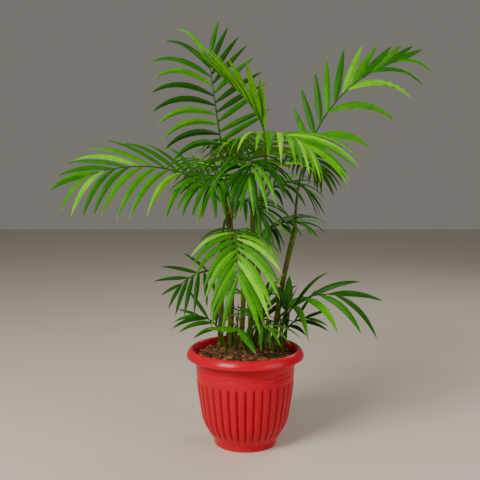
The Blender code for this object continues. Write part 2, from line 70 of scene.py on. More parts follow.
lens = bpy.data.cameras.new("photo_camera")
lens.sensor_width = SENSOR
lens.lens = FOCAL_PIXELS / PHOTO_SIDE * SENSOR
lens.shift_y = -(PHOTO_SIDE / 2 - HORIZON_ROW) / PHOTO_SIDE
lens.clip_start = 0.05
camera = bpy.data.objects.new("photo_camera", lens)
camera.location = CAMERA_PLACE
camera.rotation_euler = (math.radians(90), 0.0, 0.0)
bpy.context.scene.collection.objects.link(camera)
bpy.context.scene.camera = camera
print("lens:", lens.lens, "mm")

# %% [markdown]
# ## The studio
#
# A plain pale floor and soft light keep the eye on the plant. The light of the photograph comes broadly
# from the left: a large area lamp beside the camera draws the wide soft highlight on the pot's lip. A
# weaker lamp at the right and one behind and above open the shadows and edge the leaves.

# %% Floor, lamps and sky
FLOOR_SIDE = 14.0
FLOOR_DROP = 0.0005
FLOOR_COLOUR = (0.62, 0.58, 0.53)
FLOOR_ROUGHNESS = 0.55
WARM = (1.0, 0.93, 0.83)
LAMPS = {
    "main": dict(place=(-1.7, -2.0, 2.2), size=1.3, power=134.0, colour=(1.0, 0.91, 0.76)),
    "fill": dict(place=(2.3, -1.6, 1.3), size=1.8, power=30.0, colour=WARM),
    "behind": dict(place=(1.7, 1.6, 2.3), size=1.4, power=22.0, colour=WARM),
}
AIM = Vector((0.0, 0.0, 0.55))
SKY_COLOUR = (0.95, 0.89, 0.80)
SKY_STRENGTH = 0.20


def feed(tree, socket, value):
    """Gives a socket its value: a link if that is a socket too, or else a number or a colour."""
    if isinstance(value, bpy.types.NodeSocket):
        tree.links.new(value, socket)
    else:
        socket.default_value = (*value, 1.0) if socket.type == "RGBA" else value


def paint(material, **values):
    """Feeds the shader's sockets by their names, where an underscore stands for a space."""
    tree = material.node_tree
    for name, value in values.items():
        feed(tree, tree.nodes["Principled BSDF"].inputs[name.replace("_", " ")], value)


def plain_material(name, colour, roughness, **values):
    """A Principled material with one colour, to start a finish from."""
    material = bpy.data.materials.new(name)
    material.use_nodes = True
    paint(material, Base_Color=colour, Roughness=roughness, **values)
    return material


bm = bmesh.new()
bmesh.ops.create_grid(bm, x_segments=2, y_segments=2, size=FLOOR_SIDE / 2)
bmesh.ops.translate(bm, vec=(0.0, 0.0, -FLOOR_DROP), verts=bm.verts[:])
floor_mesh = bpy.data.meshes.new("floor")
bm.to_mesh(floor_mesh)
bm.free()
floor_mesh.materials.append(plain_material("pale_floor", FLOOR_COLOUR, FLOOR_ROUGHNESS))
floor = bpy.data.objects.new("floor", floor_mesh)
bpy.context.scene.collection.objects.link(floor)

for name, lamp in LAMPS.items():
    data = bpy.data.lights.new(name, "AREA")
    data.size = lamp["size"]
    data.energy = lamp["power"]
    data.color = lamp["colour"]
    light = bpy.data.objects.new(name, data)
    light.location = lamp["place"]
    light.rotation_euler = (AIM - Vector(lamp["place"])).to_track_quat("-Z", "Y").to_euler()
    bpy.context.scene.collection.objects.link(light)

sky = bpy.data.worlds.new("studio")
sky.use_nodes = True
background = sky.node_tree.nodes["Background"]
feed(sky.node_tree, background.inputs["Color"], SKY_COLOUR)
feed(sky.node_tree, background.inputs["Strength"], SKY_STRENGTH)
bpy.context.scene.world = sky
print("lamps:", ", ".join(LAMPS))

# %% [markdown]
# ## Shader nodes
#
# A finish is a small tree of nodes. Five short helpers add the nodes that the finishes share: maths, noise,
# a mix of two colours, a change of range and a relief. Each gives back the socket that it puts out, so one
# helper's result can be handed straight to the next.

# %% Node helpers


def add_node(tree, kind, place, **values):
    """A new node. Each value feeds the socket of that name, or else is a setting of the node."""
    node = tree.nodes.new(kind)
    node.location = place
    for name, value in values.items():
        if name in node.inputs:
            feed(tree, node.inputs[name], value)
        else:
            setattr(node, name, value)
    return node


def maths(tree, operation, values, place):
    """One sum on numbers or sockets."""
    node = add_node(tree, "ShaderNodeMath", place, operation=operation)
    for socket, value in zip(node.inputs, values):
        feed(tree, socket, value)
    return node.outputs[0]


def noise(tree, vector, scale, detail, roughness, place):
    """Soft noise from 0 to 1."""
    values = dict(Vector=vector, Scale=scale, Detail=detail, Roughness=roughness)
    return add_node(tree, "ShaderNodeTexNoise", place, **values).outputs["Fac"]


def tinted(tree, mask, first, second, place):
    """Mixes two colours by a mask. A colour may come out of another node."""
    node = add_node(tree, "ShaderNodeMix", place, data_type="RGBA")
    for number, value in ((0, mask), (6, first), (7, second)):
        feed(tree, node.inputs[number], value)
    return node.outputs[2]


def ranged(tree, mask, low, high, place, start=0.0, end=1.0):
    """Stretches a mask's values between start and end over the range from low to high."""
    node = add_node(tree, "ShaderNodeMapRange", place, Value=mask)
    for name, value in (("From Min", start), ("From Max", end), ("To Min", low), ("To Max", high)):
        node.inputs[name].default_value = value
    return node.outputs["Result"]


def bumped(tree, height, strength, distance, place):
    """The normals of a relief with these heights."""
    values = dict(Height=height, Strength=strength, Distance=distance)
    return add_node(tree, "ShaderNodeBump", place, **values).outputs["Normal"]


print("node helpers: add_node, maths, noise, tinted, ranged, bumped")

# %% [markdown]
# ## Shared effects
#
# Two effects belong to more than one finish. *Mottle* is the slow change of tone over any natural or
# moulded surface. *Fibres* are the fine lines that run along a leaflet. Each is a node group, built once,
# that puts out a mask, and each material uses that mask with its own values: colours, roughness or relief.

# %% The shared groups
FINER_NOISE = 5.3


def new_group(name, **numbers):
    """An empty node group with these numbers to put in and a mask to put out, and its two end nodes."""
    group = bpy.data.node_groups.new(name, "ShaderNodeTree")
    for socket, value in numbers.items():
        made = group.interface.new_socket(socket, in_out="INPUT", socket_type="NodeSocketFloat")
        made.default_value = value
    group.interface.new_socket("Mask", in_out="OUTPUT", socket_type="NodeSocketFloat")
    return group, add_node(group, "NodeGroupInput", (-700, 0)), add_node(group, "NodeGroupOutput", (500, 0))


def build_mottle():
    """Two sizes of noise on Object coordinates, put together as one soft mask from 0 to 1."""
    group, start, end = new_group("mottle", Scale=20.0)
    place = add_node(group, "ShaderNodeTexCoord", (-700, 250)).outputs["Object"]
    scale = start.outputs["Scale"]
    finer = maths(group, "MULTIPLY", (scale, FINER_NOISE), (-520, -120))
    large = noise(group, place, scale, 3.0, 0.55, (-350, 200))
    small = noise(group, place, finer, 4.0, 0.6, (-350, -120))
    both = maths(group, "ADD", (large, small), (-100, 60))
    feed(group, end.inputs["Mask"], ranged(group, both, 0.0, 1.0, (150, 60), 0.7, 1.3))
    return group


def build_fibres():
    """Fine lines along a surface: noise on its UV map, drawn out along V."""
    group, start, end = new_group("fibres", Across=60.0, Along=2.0)
    spot = add_node(group, "ShaderNodeTexCoord", (-700, 250)).outputs["UV"]
    parts = add_node(group, "ShaderNodeSeparateXYZ", (-520, 250), Vector=spot)
    across = maths(group, "MULTIPLY", (parts.outputs["X"], start.outputs["Across"]), (-350, 250))
    down = maths(group, "MULTIPLY", (parts.outputs["Y"], start.outputs["Along"]), (-350, 50))
    joined = add_node(group, "ShaderNodeCombineXYZ", (-180, 150), X=across, Y=down)
    lines = noise(group, joined.outputs[0], 1.0, 2.0, 0.5, (0, 150))
    feed(group, end.inputs["Mask"], ranged(group, lines, 0.0, 1.0, (220, 150), 0.35, 0.65))
    return group


MOTTLE = build_mottle()
FIBRES = build_fibres()


def masked(tree, group, place, **values):
    """The mask of a shared group, with the material's own values."""
    return add_node(tree, "ShaderNodeGroup", place, node_tree=group, **values).outputs["Mask"]


print("groups:", MOTTLE.name, FIBRES.name)

# %% [markdown]
# ## Pieces
#
# Every piece is a mesh object at the origin. It rides on the one body, stands for its solids, and takes
# its finish from a named slot. One short helper does all three, so that no piece is left out.

# %% Keep a piece


def keep(name, mesh, materials, replaced=(), sharp=35.0):
    """Makes a finished mesh a piece of the palm."""
    for material in materials:
        mesh.materials.append(material)
    mesh.shade_smooth()
    mesh.set_sharp_from_angle(angle=math.radians(sharp))
    piece = bpy.data.objects.new(name, mesh)
    bpy.context.scene.collection.objects.link(piece)
    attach(piece, "root")
    if replaced:
        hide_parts(*replaced)
    triangles = sum(len(face.vertices) - 2 for face in mesh.polygons)
    print(f"{name}: {triangles} triangles")


def mesh_of(bm, name):
    """Turns a bmesh into a mesh whose faces point outwards."""
    bmesh.ops.recalc_face_normals(bm, faces=bm.faces[:])
    mesh = bpy.data.meshes.new(name)
    bm.to_mesh(mesh)
    bm.free()
    return mesh


def joined_mesh(meshes, name):
    """One mesh from several."""
    bm = bmesh.new()
    for mesh in meshes:
        bm.from_mesh(mesh)
    return mesh_of(bm, name)


def mix(a, b, share):
    """The value that lies a share of the way from a to b."""
    return a + (b - a) * share


print("a quarter of the way from 2 to 6:", mix(2, 6, 0.25))

# %% [markdown]
# ## The pot
#
# The pot is moulded plastic: a short plain foot, a bowl with thirty-six rounded ribs, a plain neck with
# two fine rings, and a broad lip that is rolled over. A turned thing is best spun from its profile. The
# spin makes ten columns to each rib, and the grooves are then pressed in between the ribs, fading out
# at the neck and the foot.

# %% The pot's profile
POT_HEIGHT = 0.240
RIM_RADIUS = 0.150
NECK = POT_HEIGHT - 0.022
MOUTH_RADIUS = 0.132
FOOT_RADIUS = 0.080
WALL = 0.004
FLOOR_THICKNESS = 0.005
RING_HEIGHTS = (0.184, 0.1955)
RING_DEPTH = 0.0005
RING_HALF = 0.0011
BOWL_PARTS = 6
LIP_PARTS = 5

# Height and outer radius up the bowl, and the heights at which the inside wall follows it
BOWL = [
    (0.020, 0.0862), (0.034, 0.0945), (0.052, 0.1045), (0.070, 0.1106),
    (0.099, 0.1155), (0.130, 0.1205), (0.160, 0.1234), (0.172, 0.1245),
]
INSIDE_HEIGHTS = (NECK, 0.160, 0.099, 0.052, 0.020)


def smooth_line(points, parts):
    """A soft curve through points of height and radius, with several parts between each two."""
    ends = [points[0], *points, points[-1]]
    line = []
    for a, b, c, d in zip(ends, ends[1:], ends[2:], ends[3:]):
        for part in range(parts):
            t = part / parts
            line.append(tuple(
                0.5 * (2 * q + (r - p) * t + (2 * p - 5 * q + 4 * r - s) * t ** 2
                       + (3 * q - p - 3 * r + s) * t ** 3)
                for p, q, r, s in zip(a, b, c, d)
            ))
    return line + [points[-1]]


def bowl_radius(height):
    """Outer radius of the bowl at a height, before its grooves."""
    line = [*BOWL, (NECK, BOWL[-1][1] + 0.0030)]
    for (low, r_low), (high, r_high) in zip(line, line[1:]):
        if height <= high:
            return mix(r_low, r_high, (height - low) / (high - low))
    return line[-1][1]


def pot_profile():
    """Heights and radii from the middle of the underside, up the outside and down the inside."""
    foot = [(0.0, 0.0), (0.0, 0.5 * FOOT_RADIUS), (0.0, FOOT_RADIUS - 0.0028)]
    foot += [(0.0009, FOOT_RADIUS - 0.0010), (0.0028, FOOT_RADIUS - 0.0003)]
    foot += [(0.0140, FOOT_RADIUS + 0.0012), (0.0170, FOOT_RADIUS + 0.0030)]
    neck = [(height + side * RING_HALF, bowl_radius(height)) for height in RING_HEIGHTS for side in (-1, 1)]
    neck += [(height, bowl_radius(height) - RING_DEPTH) for height in RING_HEIGHTS]
    neck = sorted(neck) + [(NECK + 0.0012, bowl_radius(NECK)), (NECK + 0.0008, RIM_RADIUS - 0.0045)]
    lip = smooth_line([
        (NECK, RIM_RADIUS - 0.0022), (NECK + 0.0022, RIM_RADIUS - 0.0001),
        (NECK + 0.0090, RIM_RADIUS - 0.0013), (POT_HEIGHT - 0.0058, RIM_RADIUS - 0.0054),
        (POT_HEIGHT - 0.0004, MOUTH_RADIUS + 0.0072), (POT_HEIGHT - 0.0008, MOUTH_RADIUS + 0.0026),
        (POT_HEIGHT - 0.0036, MOUTH_RADIUS),
    ], LIP_PARTS)
    inside = [(height, bowl_radius(height) - WALL) for height in INSIDE_HEIGHTS]
    inside += [(FLOOR_THICKNESS, FOOT_RADIUS - WALL), (FLOOR_THICKNESS, 0.0)]
    return foot + smooth_line(BOWL, BOWL_PARTS) + neck + lip + inside


print("profile points:", len(pot_profile()))

# %% [markdown]
# A point of the spun bowl knows how far it stands from the middle of its rib. It is pressed in by a steep
# curve of that distance, which leaves broad ribs and narrow grooves. The faces on a groove's floor get a
# slot of their own, a darker red that is painted shade in the grooves.

# %% Spin the pot and press in its grooves
RIBS = 36
COLUMNS_PER_RIB = 10
GROOVE_DEPTH = 0.0034
GROOVE_STEEPNESS = 4
GROOVE_FLOOR = 0.35
GROOVE_TOP = 0.1655
GROOVE_BOTTOM = 0.027
FADE_TOP = 0.005
FADE_BOTTOM = 0.014
RIB_BULGE = 0.0008


def groove_share(height):
    """How deep the grooves are at a height: full along the bowl, none at the neck and the foot."""
    top = min(max((GROOVE_TOP - height) / FADE_TOP, 0.0), 1.0)
    bottom = min(max((height - GROOVE_BOTTOM) / FADE_BOTTOM, 0.0), 1.0)
    return top * math.sin(0.5 * math.pi * bottom)


bm = bmesh.new()
points = [bm.verts.new((radius, 0.0, height)) for height, radius in pot_profile()]
for lower, upper in zip(points, points[1:]):
    bm.edges.new((lower, upper))
bmesh.ops.spin(
    bm, geom=bm.verts[:] + bm.edges[:], cent=(0, 0, 0), axis=(0, 0, 1), angle=math.tau,
    steps=RIBS * COLUMNS_PER_RIB, use_merge=True,
)
bmesh.ops.remove_doubles(bm, verts=bm.verts[:], dist=0.00001)
for vert in bm.verts:
    radius = math.hypot(vert.co.x, vert.co.y)
    if not GROOVE_BOTTOM < vert.co.z < GROOVE_TOP or radius < bowl_radius(vert.co.z) - 0.5 * WALL:
        continue
    across = (math.atan2(vert.co.y, vert.co.x) / math.tau * RIBS + 0.5) % 1.0 - 0.5
    share = groove_share(vert.co.z)
    press = (1 - 2 * abs(across)) ** GROOVE_STEEPNESS * GROOVE_DEPTH * share
    bulge = math.sin(math.pi * abs(across)) ** 2 * RIB_BULGE * share
    vert.co.xy *= 1 - (press - bulge) / radius
    vert.tag = press > GROOVE_FLOOR * GROOVE_DEPTH
# Faces on a groove's floor take the second slot, whose darker red is painted shade
for face in bm.faces:
    face.material_index = int(sum(vert.tag for vert in face.verts) > 1)
pot_mesh = mesh_of(bm, "fluted_pot")
print("grooves:", RIBS)

# %% [markdown]
# The plastic is deep red and half glossy, and the grooves get a darker red that is painted shade. Its colour
# has a faint change of tone and gloss from the mould, and a very fine ripple breaks up the reflections of
# the lamps.

# %% Red plastic
RED = (0.54, 0.0, 0.018)
RED_DEEP = (0.48, 0.0, 0.016)
# The darker red of the groove floors is painted shade
RED_PAINTED_SHADE = (0.38, 0.0, 0.013)


def moulded(name, red, patch_red=None):
    """Half glossy plastic with a fine ripple: in one red, or in two near reds in faint patches."""
    gloss = dict(Specular_IOR_Level=0.06, Coat_Weight=0.36, Coat_Roughness=0.24)
    material = plain_material(name, red, 0.3, **gloss)
    tree = material.node_tree
    patches = masked(tree, MOTTLE, (-700, 200), Scale=14.0)
    ripple = masked(tree, MOTTLE, (-700, -200), Scale=160.0)
    paint(
        material,
        Roughness=ranged(tree, patches, 0.27, 0.36, (-350, 60)),
        Normal=bumped(tree, ripple, 0.10, 0.0003, (-350, -200)),
    )
    if patch_red:
        paint(material, Base_Color=tinted(tree, patches, red, patch_red, (-350, 300)))
    return material


red_plastic = moulded("red_plastic", RED, RED_DEEP)
# The grooves' finish: its darker red is painted shade
red_painted_shade = moulded("red_painted_shade", RED_PAINTED_SHADE)
keep("fluted_pot", pot_mesh, [red_plastic, red_painted_shade], ["pot"], sharp=32.0)

# %% [markdown]
# ## The canes
#
# A palm cane is a smooth green stick with a ring scar wherever an old leaf fell off. The scars are close
# together near the foot and further apart above. A bevelled curve gives a round limb with a true taper,
# and it gets extra points at each scar, where the cane swells a little.

# %% Shape of the canes
SOIL_TOP = 0.222
GAP = 0.0003
FLARE = 0.35
FLARE_HEIGHT = 0.022
FLARE_EASE = 1.5

# Foot on the bark, tip of the axis, sideways bow at mid height, radius at foot and tip
Cane = namedtuple("Cane", "foot tip bow radii")
CANES = {
    "cane_left_main": Cane((-0.040, 0.066), (-0.041, 0.058, 0.580), 0.004, (0.0085, 0.0062)),
    "cane_left_outer": Cane((-0.067, 0.060), (-0.066, 0.070, 0.415), 0.003, (0.0080, 0.0058)),
    "cane_right": Cane((0.074, 0.052), (0.130, 0.040, 0.535), -0.007, (0.0080, 0.0058)),
    "cane_back_left": Cane((0.012, 0.092), (0.020, 0.086, 0.600), 0.003, (0.0075, 0.0052)),
    "cane_back_right": Cane((0.040, 0.082), (0.039, 0.078, 0.612), -0.004, (0.0075, 0.0052)),
    "cane_centre": Cane((-0.012, 0.040), (-0.004, 0.046, 0.430), 0.002, (0.0075, 0.0054)),
}


def cane_point(cane, share):
    """The middle of a cane at a share of its height."""
    straight = Vector((*cane.foot, SOIL_TOP + GAP)).lerp(Vector(cane.tip), share)
    return straight + Vector((cane.bow * math.sin(math.pi * share), 0.0, 0.0))


def cane_radius(cane, share):
    """The cane's radius there: a true taper, flared where it meets the bark."""
    height = (cane.tip[2] - SOIL_TOP) * share
    flare = 1 + FLARE * max(0.0, 1 - height / FLARE_HEIGHT) ** FLARE_EASE
    return mix(*cane.radii, share) * flare


def limb(name, points, radii, sides):
    """A round tapering limb: a curve through the points, bevelled and made a mesh."""
    curve = bpy.data.curves.new(name, "CURVE")
    curve.dimensions = "3D"
    curve.bevel_depth = 1.0
    curve.bevel_resolution = (sides - 4) // 2
    curve.use_fill_caps = True
    spline = curve.splines.new("POLY")
    spline.points.add(len(points) - 1)
    for knot, point, radius in zip(spline.points, points, radii):
        knot.co = (*point, 1.0)
        knot.radius = radius
    guide = bpy.data.objects.new(name, curve)
    bpy.context.scene.collection.objects.link(guide)
    evaluated = guide.evaluated_get(bpy.context.evaluated_depsgraph_get())
    mesh = bpy.data.meshes.new_from_object(evaluated)
    bpy.data.objects.remove(guide, do_unlink=True)
    bpy.data.curves.remove(curve)
    mesh.materials.clear()
    return mesh


print("canes:", len(CANES))

# %% [markdown]
# Cane skin is olive green, streaked along its length and weathered to brown in patches. The limb's mesh
# has no UV map, so its streaks come from noise on Object coordinates, drawn out along Z by a Mapping
# node. The scars are pale brown, and a band of dry, dark skin lies under each of them.

# %% Cane skin
GREEN_SKIN = (0.034, 0.066, 0.002)
YELLOW_SKIN = (0.098, 0.116, 0.006)
BROWN_SKIN = (0.070, 0.038, 0.010)
PALE_SCAR = (0.180, 0.120, 0.045)
DRY_SKIN = (0.090, 0.052, 0.012)
DARK_SKIN = (0.040, 0.026, 0.008)
STREAK_SCALE = (1.0, 1.0, 0.12)
PATCH_COVER = 0.85
PATCH_EDGE = 0.12


def streaked(name, first, second, rough, size):
    """Skin with two colours in streaks along Z, and roughness and a little relief to match."""
    material = plain_material(name, first, rough[0], Specular_IOR_Level=0.3)
    tree = material.node_tree
    place = add_node(tree, "ShaderNodeTexCoord", (-1100, 100)).outputs["Object"]
    drawn = add_node(tree, "ShaderNodeMapping", (-900, 100), Vector=place, Scale=STREAK_SCALE)
    lines = noise(tree, drawn.outputs["Vector"], size, 4.0, 0.6, (-700, 100))
    mask = ranged(tree, lines, 0.0, 1.0, (-500, 100), 0.36, 0.64)
    paint(
        material,
        Base_Color=tinted(tree, mask, first, second, (-250, 250)),
        Roughness=ranged(tree, mask, *rough, (-250, 0)),
        Normal=bumped(tree, lines, 0.35, 0.0006, (-250, -250)),
    )
    return material


def weathered(material, colour, size, least):
    """Lays brown weathered patches over a material's colour."""
    tree = material.node_tree
    under = tree.nodes["Principled BSDF"].inputs["Base Color"].links[0].from_socket
    patches = masked(tree, MOTTLE, (-500, 520), Scale=size)
    share = ranged(tree, patches, 0.0, PATCH_COVER, (-300, 520), least, least + PATCH_EDGE)
    paint(material, Base_Color=tinted(tree, share, under, colour, (-100, 420)))


cane_green = streaked("cane_green", GREEN_SKIN, YELLOW_SKIN, (0.36, 0.55), 240.0)
weathered(cane_green, BROWN_SKIN, 55.0, 0.55)
cane_dry = streaked("cane_dry", DARK_SKIN, DRY_SKIN, (0.6, 0.8), 300.0)
cane_scar = streaked("cane_scar", BROWN_SKIN, PALE_SCAR, (0.7, 0.9), 420.0)
print("cane finishes:", cane_green.name, cane_scar.name, cane_dry.name)

# %% [markdown]
# Each cane is now built along its line of scars. A face takes its slot from its height: scar, dry band or
# green skin. The oldest skin, at the foot, is dry too.

# %% Build the canes
CANE_SIDES = 16
SCAR_FIRST = 0.012
SCAR_GROWTH = 1.17
SCAR_LONGEST = 0.052
SCAR_SWELL = 0.0007
SCAR_HALF = 0.0013
PLAIN_TIP = 0.012
LINE_STEP = 0.012
PALE_BAND = (-0.4 * SCAR_HALF, 0.9 * SCAR_HALF)
DRY_BAND = 0.0048
OLD_FOOT = 0.010

# A scar's shape: distance from its middle, in half widths, and share of its swelling
SCAR_SHAPE = ((-3.0, 0.1), (-1.0, 0.8), (0.0, 1.0), (1.0, 0.55), (3.4, 0.0))


def scar_heights(cane):
    """Heights of the ring scars above the bark, further apart up the cane."""
    heights = []
    height = step = SCAR_FIRST
    while height < cane.tip[2] - SOIL_TOP - PLAIN_TIP:
        heights.append(height)
        step = min(step * SCAR_GROWTH, SCAR_LONGEST)
        height += step
    return heights


def scarred_line(cane):
    """Places and radii along a cane, with a swelling and a narrow groove at each scar."""
    whole = cane.tip[2] - SOIL_TOP
    stops = {0.0: 0.0, whole: 0.0}
    for rise in range(1, int(whole / LINE_STEP)):
        stops[rise * LINE_STEP] = 0.0
    for height in scar_heights(cane):
        near = [stop for stop in stops if abs(stop - height) < 0.5 * LINE_STEP and 0 < stop < whole]
        for stop in near:
            del stops[stop]
        for away, swell in SCAR_SHAPE:
            stops[height + away * SCAR_HALF] = swell
    shares = {stop: min(stop / whole, 1.0) for stop in sorted(stops)}
    points = [cane_point(cane, share) for share in shares.values()]
    return points, [cane_radius(cane, share) + SCAR_SWELL * stops[stop] for stop, share in shares.items()]


for name, cane in CANES.items():
    bm = bmesh.new()
    bm.from_mesh(limb(name, *scarred_line(cane), CANE_SIDES))
    bmesh.ops.remove_doubles(bm, verts=bm.verts[:], dist=0.000001)
    heights = [SOIL_TOP + height for height in scar_heights(cane)]
    for face in bm.faces:
        level = face.calc_center_median().z
        if any(PALE_BAND[0] < level - height < PALE_BAND[1] for height in heights):
            face.material_index = 1
        elif any(-DRY_BAND < level - height < 0 for height in heights) or level < SOIL_TOP + OLD_FOOT:
            face.material_index = 2
    bark = mesh_of(bm, name + "_bark")
    keep(name + "_bark", bark, [cane_green, cane_scar, cane_dry], [name], sharp=60.0)

# %% [markdown]
# ## The fronds' rule
#
# Every frond follows one rule. Its stem and rib start in a direction, arch over and swing round as they
# go. The leaflets stand in two rows and turn from nearly across the rib at its foot to nearly along it at
# its tip. The values are the same as in the solids, so each finer frond lies where its solid does. Most
# leaflets come out slimmer than in the solids, and the heart and back of the crown get more of them.

# %% Values of the fronds
# A side of a frond: how many leaflets and how long, their angle to the rib at its foot and at its tip
# with the ease between, their rise out of the blade, and their sag
Side = namedtuple("Side", "count leaf foot tip ease rise sag")

# A frond: its seat and tone, its heading and lift where it starts, its bow and the bow's ease, its swing,
# the lengths of its stem and blade, its roll and its sides, then how broad its leaflets are, and how long
# the first and the last of them are beside the longest
Frond = namedtuple(
    "Frond", "seat tone heading lift bow ease swing stem blade roll left right broad ends",
    defaults=(1.0, (0.70, 0.58)),
)
# A frond's tone is painted shade and light: deep for fronds in shade, bright for fronds in the light, mid
# between
FRONDS = {
    "top_left": Frond(
        ("cane_left_main", 1.0), "deep", 140, 88, 17, 0.4, -30, 0.180, 0.266, 0,
        Side(10, 0.208, 84, 22, 2.2, 6, 1.1), Side(10, 0.190, 62, 14, 2.0, 6, 0.2), ends=(0.95, 0.66),
    ),
    "top_bright": Frond(
        ("cane_back_right", 1.0), "bright", -8, 84, 50, 1.15, -230, 0.190, 0.200, 0,
        Side(6, 0.180, 8, 14, 1, 20, 0.1), Side(5, 0.185, 12, 8, 1, 20, 0.1), 1.25, (0.8, 0.7),
    ),
    "left": Frond(
        ("cane_left_main", 0.985), "mid", -156, 88, 108, 0.5, -4, 0.065, 0.36, -45,
        Side(11, 0.195, 60, 16, 0.9, 8, 2.0), Side(11, 0.180, 44, 15, 0.8, 8, 0.6),
    ),
    "right": Frond(
        ("cane_right", 1.0), "mid", 40, 89, 72, 1.1, -26, 0.220, 0.390, 50,
        Side(11, 0.174, 42, 8, 0.8, 12, 0.1), Side(5, 0.205, 58, 9, 0.7, 8, 1.3), 1.25,
    ),
    "centre_front": Frond(
        ("cane_left_main", 0.955), "bright", -60, 88, 122, 1.05, 6, 0.15, 0.300, -6,
        Side(12, 0.220, 74, 18, 0.9, 14, 1.1), Side(12, 0.200, 70, 14, 0.9, 6, 1.5),
    ),
    "front_hanging": Frond(
        ("cane_left_main", 0.80), "bright", -81, 57, 125, 0.67, -9, 0.10, 0.165, 0,
        Side(9, 0.170, 64, 26, 0.9, 12, 1.5), Side(9, 0.165, 66, 26, 0.9, 12, 1.5), 1.05, (0.85, 0.85),
    ),
    "low_left": Frond(
        ("cane_left_outer", 1.0), "deep", -140, 62, 100, 0.4, -20, 0.03, 0.10, -50,
        Side(6, 0.122, 80, 15, 1, 5, 0.8), Side(4, 0.105, 60, 18, 1, 5, 0.3),
    ),
    "low_right": Frond(
        (0.094, 0.050), "deep", -73, 88, 98, 1.2, 71, 0.07, 0.185, 45,
        Side(4, 0.145, 24, 2, 1, 5, 0.6), Side(5, 0.150, 62, 18, 1, 5, 1.6), ends=(0.7, 1.0),
    ),
    "back": Frond(
        ("cane_back_left", 0.97), "deep", 110, 86, 112, 0.9, -20, 0.11, 0.33, 0,
        Side(11, 0.170, 68, 18, 1, 12, 1.4), Side(11, 0.170, 68, 18, 1, 12, 1.4),
    ),
    "back_left": Frond(
        ("cane_left_main", 0.93), "mid", 112, 84, 120, 0.9, -6, 0.12, 0.31, 0,
        Side(10, 0.165, 66, 16, 1, 12, 1.1), Side(10, 0.165, 66, 16, 1, 12, 1.1),
    ),
    "back_right": Frond(
        ("cane_back_right", 0.96), "deep", 50, 82, 122, 0.8, 12, 0.12, 0.31, 0,
        Side(11, 0.165, 66, 16, 1, 12, 1.3), Side(11, 0.165, 66, 16, 1, 12, 1.5),
    ),
    "low_back": Frond(
        ("cane_centre", 1.0), "mid", 95, 80, 135, 0.8, 5, 0.12, 0.22, 0,
        Side(8, 0.145, 66, 14, 1, 12, 1.2), Side(8, 0.145, 66, 14, 1, 12, 1.2),
    ),
    "centre_right": Frond(
        ("cane_back_right", 0.93), "deep", 2, 84, 145, 1.3, 4, 0.050, 0.125, 20,
        Side(6, 0.135, 70, 14, 1, 5, 1.0), Side(7, 0.140, 80, 10, 1, 5, 1.5),
    ),
    "centre_low": Frond(
        ("cane_left_outer", 0.96), "deep", -84, 87, 165, 2.4, 56, 0.235, 0.105, 12,
        Side(6, 0.135, 52, 10, 1, 5, 1.3), Side(6, 0.140, 58, 12, 1, 5, 1.6),
    ),
    "centre_left": Frond(
        ("cane_left_main", 0.90), "mid", -118, 80, 138, 2.0, 20, 0.13, 0.11, 0,
        Side(6, 0.160, 66, 12, 1, 5, 1.7), Side(6, 0.160, 66, 12, 1, 5, 1.7), 1.15,
    ),
    "centre_back": Frond(
        ("cane_back_left", 1.0), "deep", -82, 88, 140, 1.0, -20, 0.10, 0.19, 0,
        Side(8, 0.170, 70, 14, 1, 0, 2.2), Side(8, 0.170, 70, 14, 1, 0, 2.2),
    ),
    "centre_dark": Frond(
        ("cane_centre", 0.96), "deep", -20, 86, 95, 1.2, -10, 0.10, 0.13, 10,
        Side(6, 0.130, 66, 14, 1, 10, 1.0), Side(6, 0.135, 70, 14, 1, 10, 1.4),
    ),
    "low_left_small": Frond(
        (-0.052, 0.040), "deep", 165, 84, 75, 1.3, 30, 0.055, 0.07, -50,
        Side(4, 0.120, 60, 12, 1, 5, 0.7), Side(3, 0.110, 55, 14, 1, 5, 0.2),
    ),
    "low_right_small": Frond(
        (0.098, 0.068), "deep", -40, 86, 85, 1.3, 30, 0.05, 0.07, 40,
        Side(3, 0.110, 55, 12, 1, 5, 0.2), Side(3, 0.110, 55, 12, 1, 5, 0.7),
    ),
    "low_centre_right": Frond(
        (0.050, 0.022), "deep", 110, 87, 35, 1.3, -30, 0.075, 0.065, 0,
        Side(4, 0.120, 60, 10, 1, 5, 0.3), Side(4, 0.120, 60, 10, 1, 5, 0.6), 1.3,
    ),
    "low_front": Frond(
        (0.020, 0.022), "deep", -65, 88, 112, 1.4, 10, 0.085, 0.050, 0,
        Side(4, 0.105, 62, 16, 1, 5, 1.2), Side(4, 0.105, 62, 16, 1, 5, 1.2), 1.2,
    ),
    "low_middle": Frond(
        (0.002, 0.014), "deep", -75, 88, 125, 1.6, 20, 0.115, 0.045, 0,
        Side(2, 0.100, 50, 14, 1, 5, 1.4), Side(3, 0.100, 54, 14, 1, 5, 1.4),
    ),
    "young_shoot": Frond(
        (0.088, 0.018), "deep", 20, 88, 20, 1.2, -20, 0.105, 0.030, 80,
        Side(2, 0.076, 40, 12, 1, 8, 0.4), Side(1, 0.074, 40, 16, 1, 8, 0.6), 2.6, (1.0, 1.0),
    ),
    "front_shoot": Frond(
        (-0.026, 0.004), "bright", -100, 86, 150, 2.2, 30, 0.108, 0.022, 0,
        Side(1, 0.090, 14, 14, 1, 5, 0.4), Side(1, 0.078, 92, 92, 1, 5, 0.1), 2.4, (1.0, 1.0),
    ),
}
print("fronds:", len(FRONDS), "leaflets:", sum(f.left.count + f.right.count for f in FRONDS.values()))

# %% [markdown]
# The line of a stem and its rib is walked in small steps, each in the direction that the rule gives at
# that share of the length. It starts on the bark, on a cane's tip or beside a cane, just clear of it.

# %% The line and the frame of a frond
STEM_RADIUS = 0.0030
RIB_RADIUS = 0.0024
RIB_TIP_RADIUS = 0.0009
RIB_STEPS = 120
NEAR_TIP = 0.98
BESIDE_CANE = 0.0001

# A solid's stem has four parts, and the direction of its first part seats it
SOLID_PARTS = 4


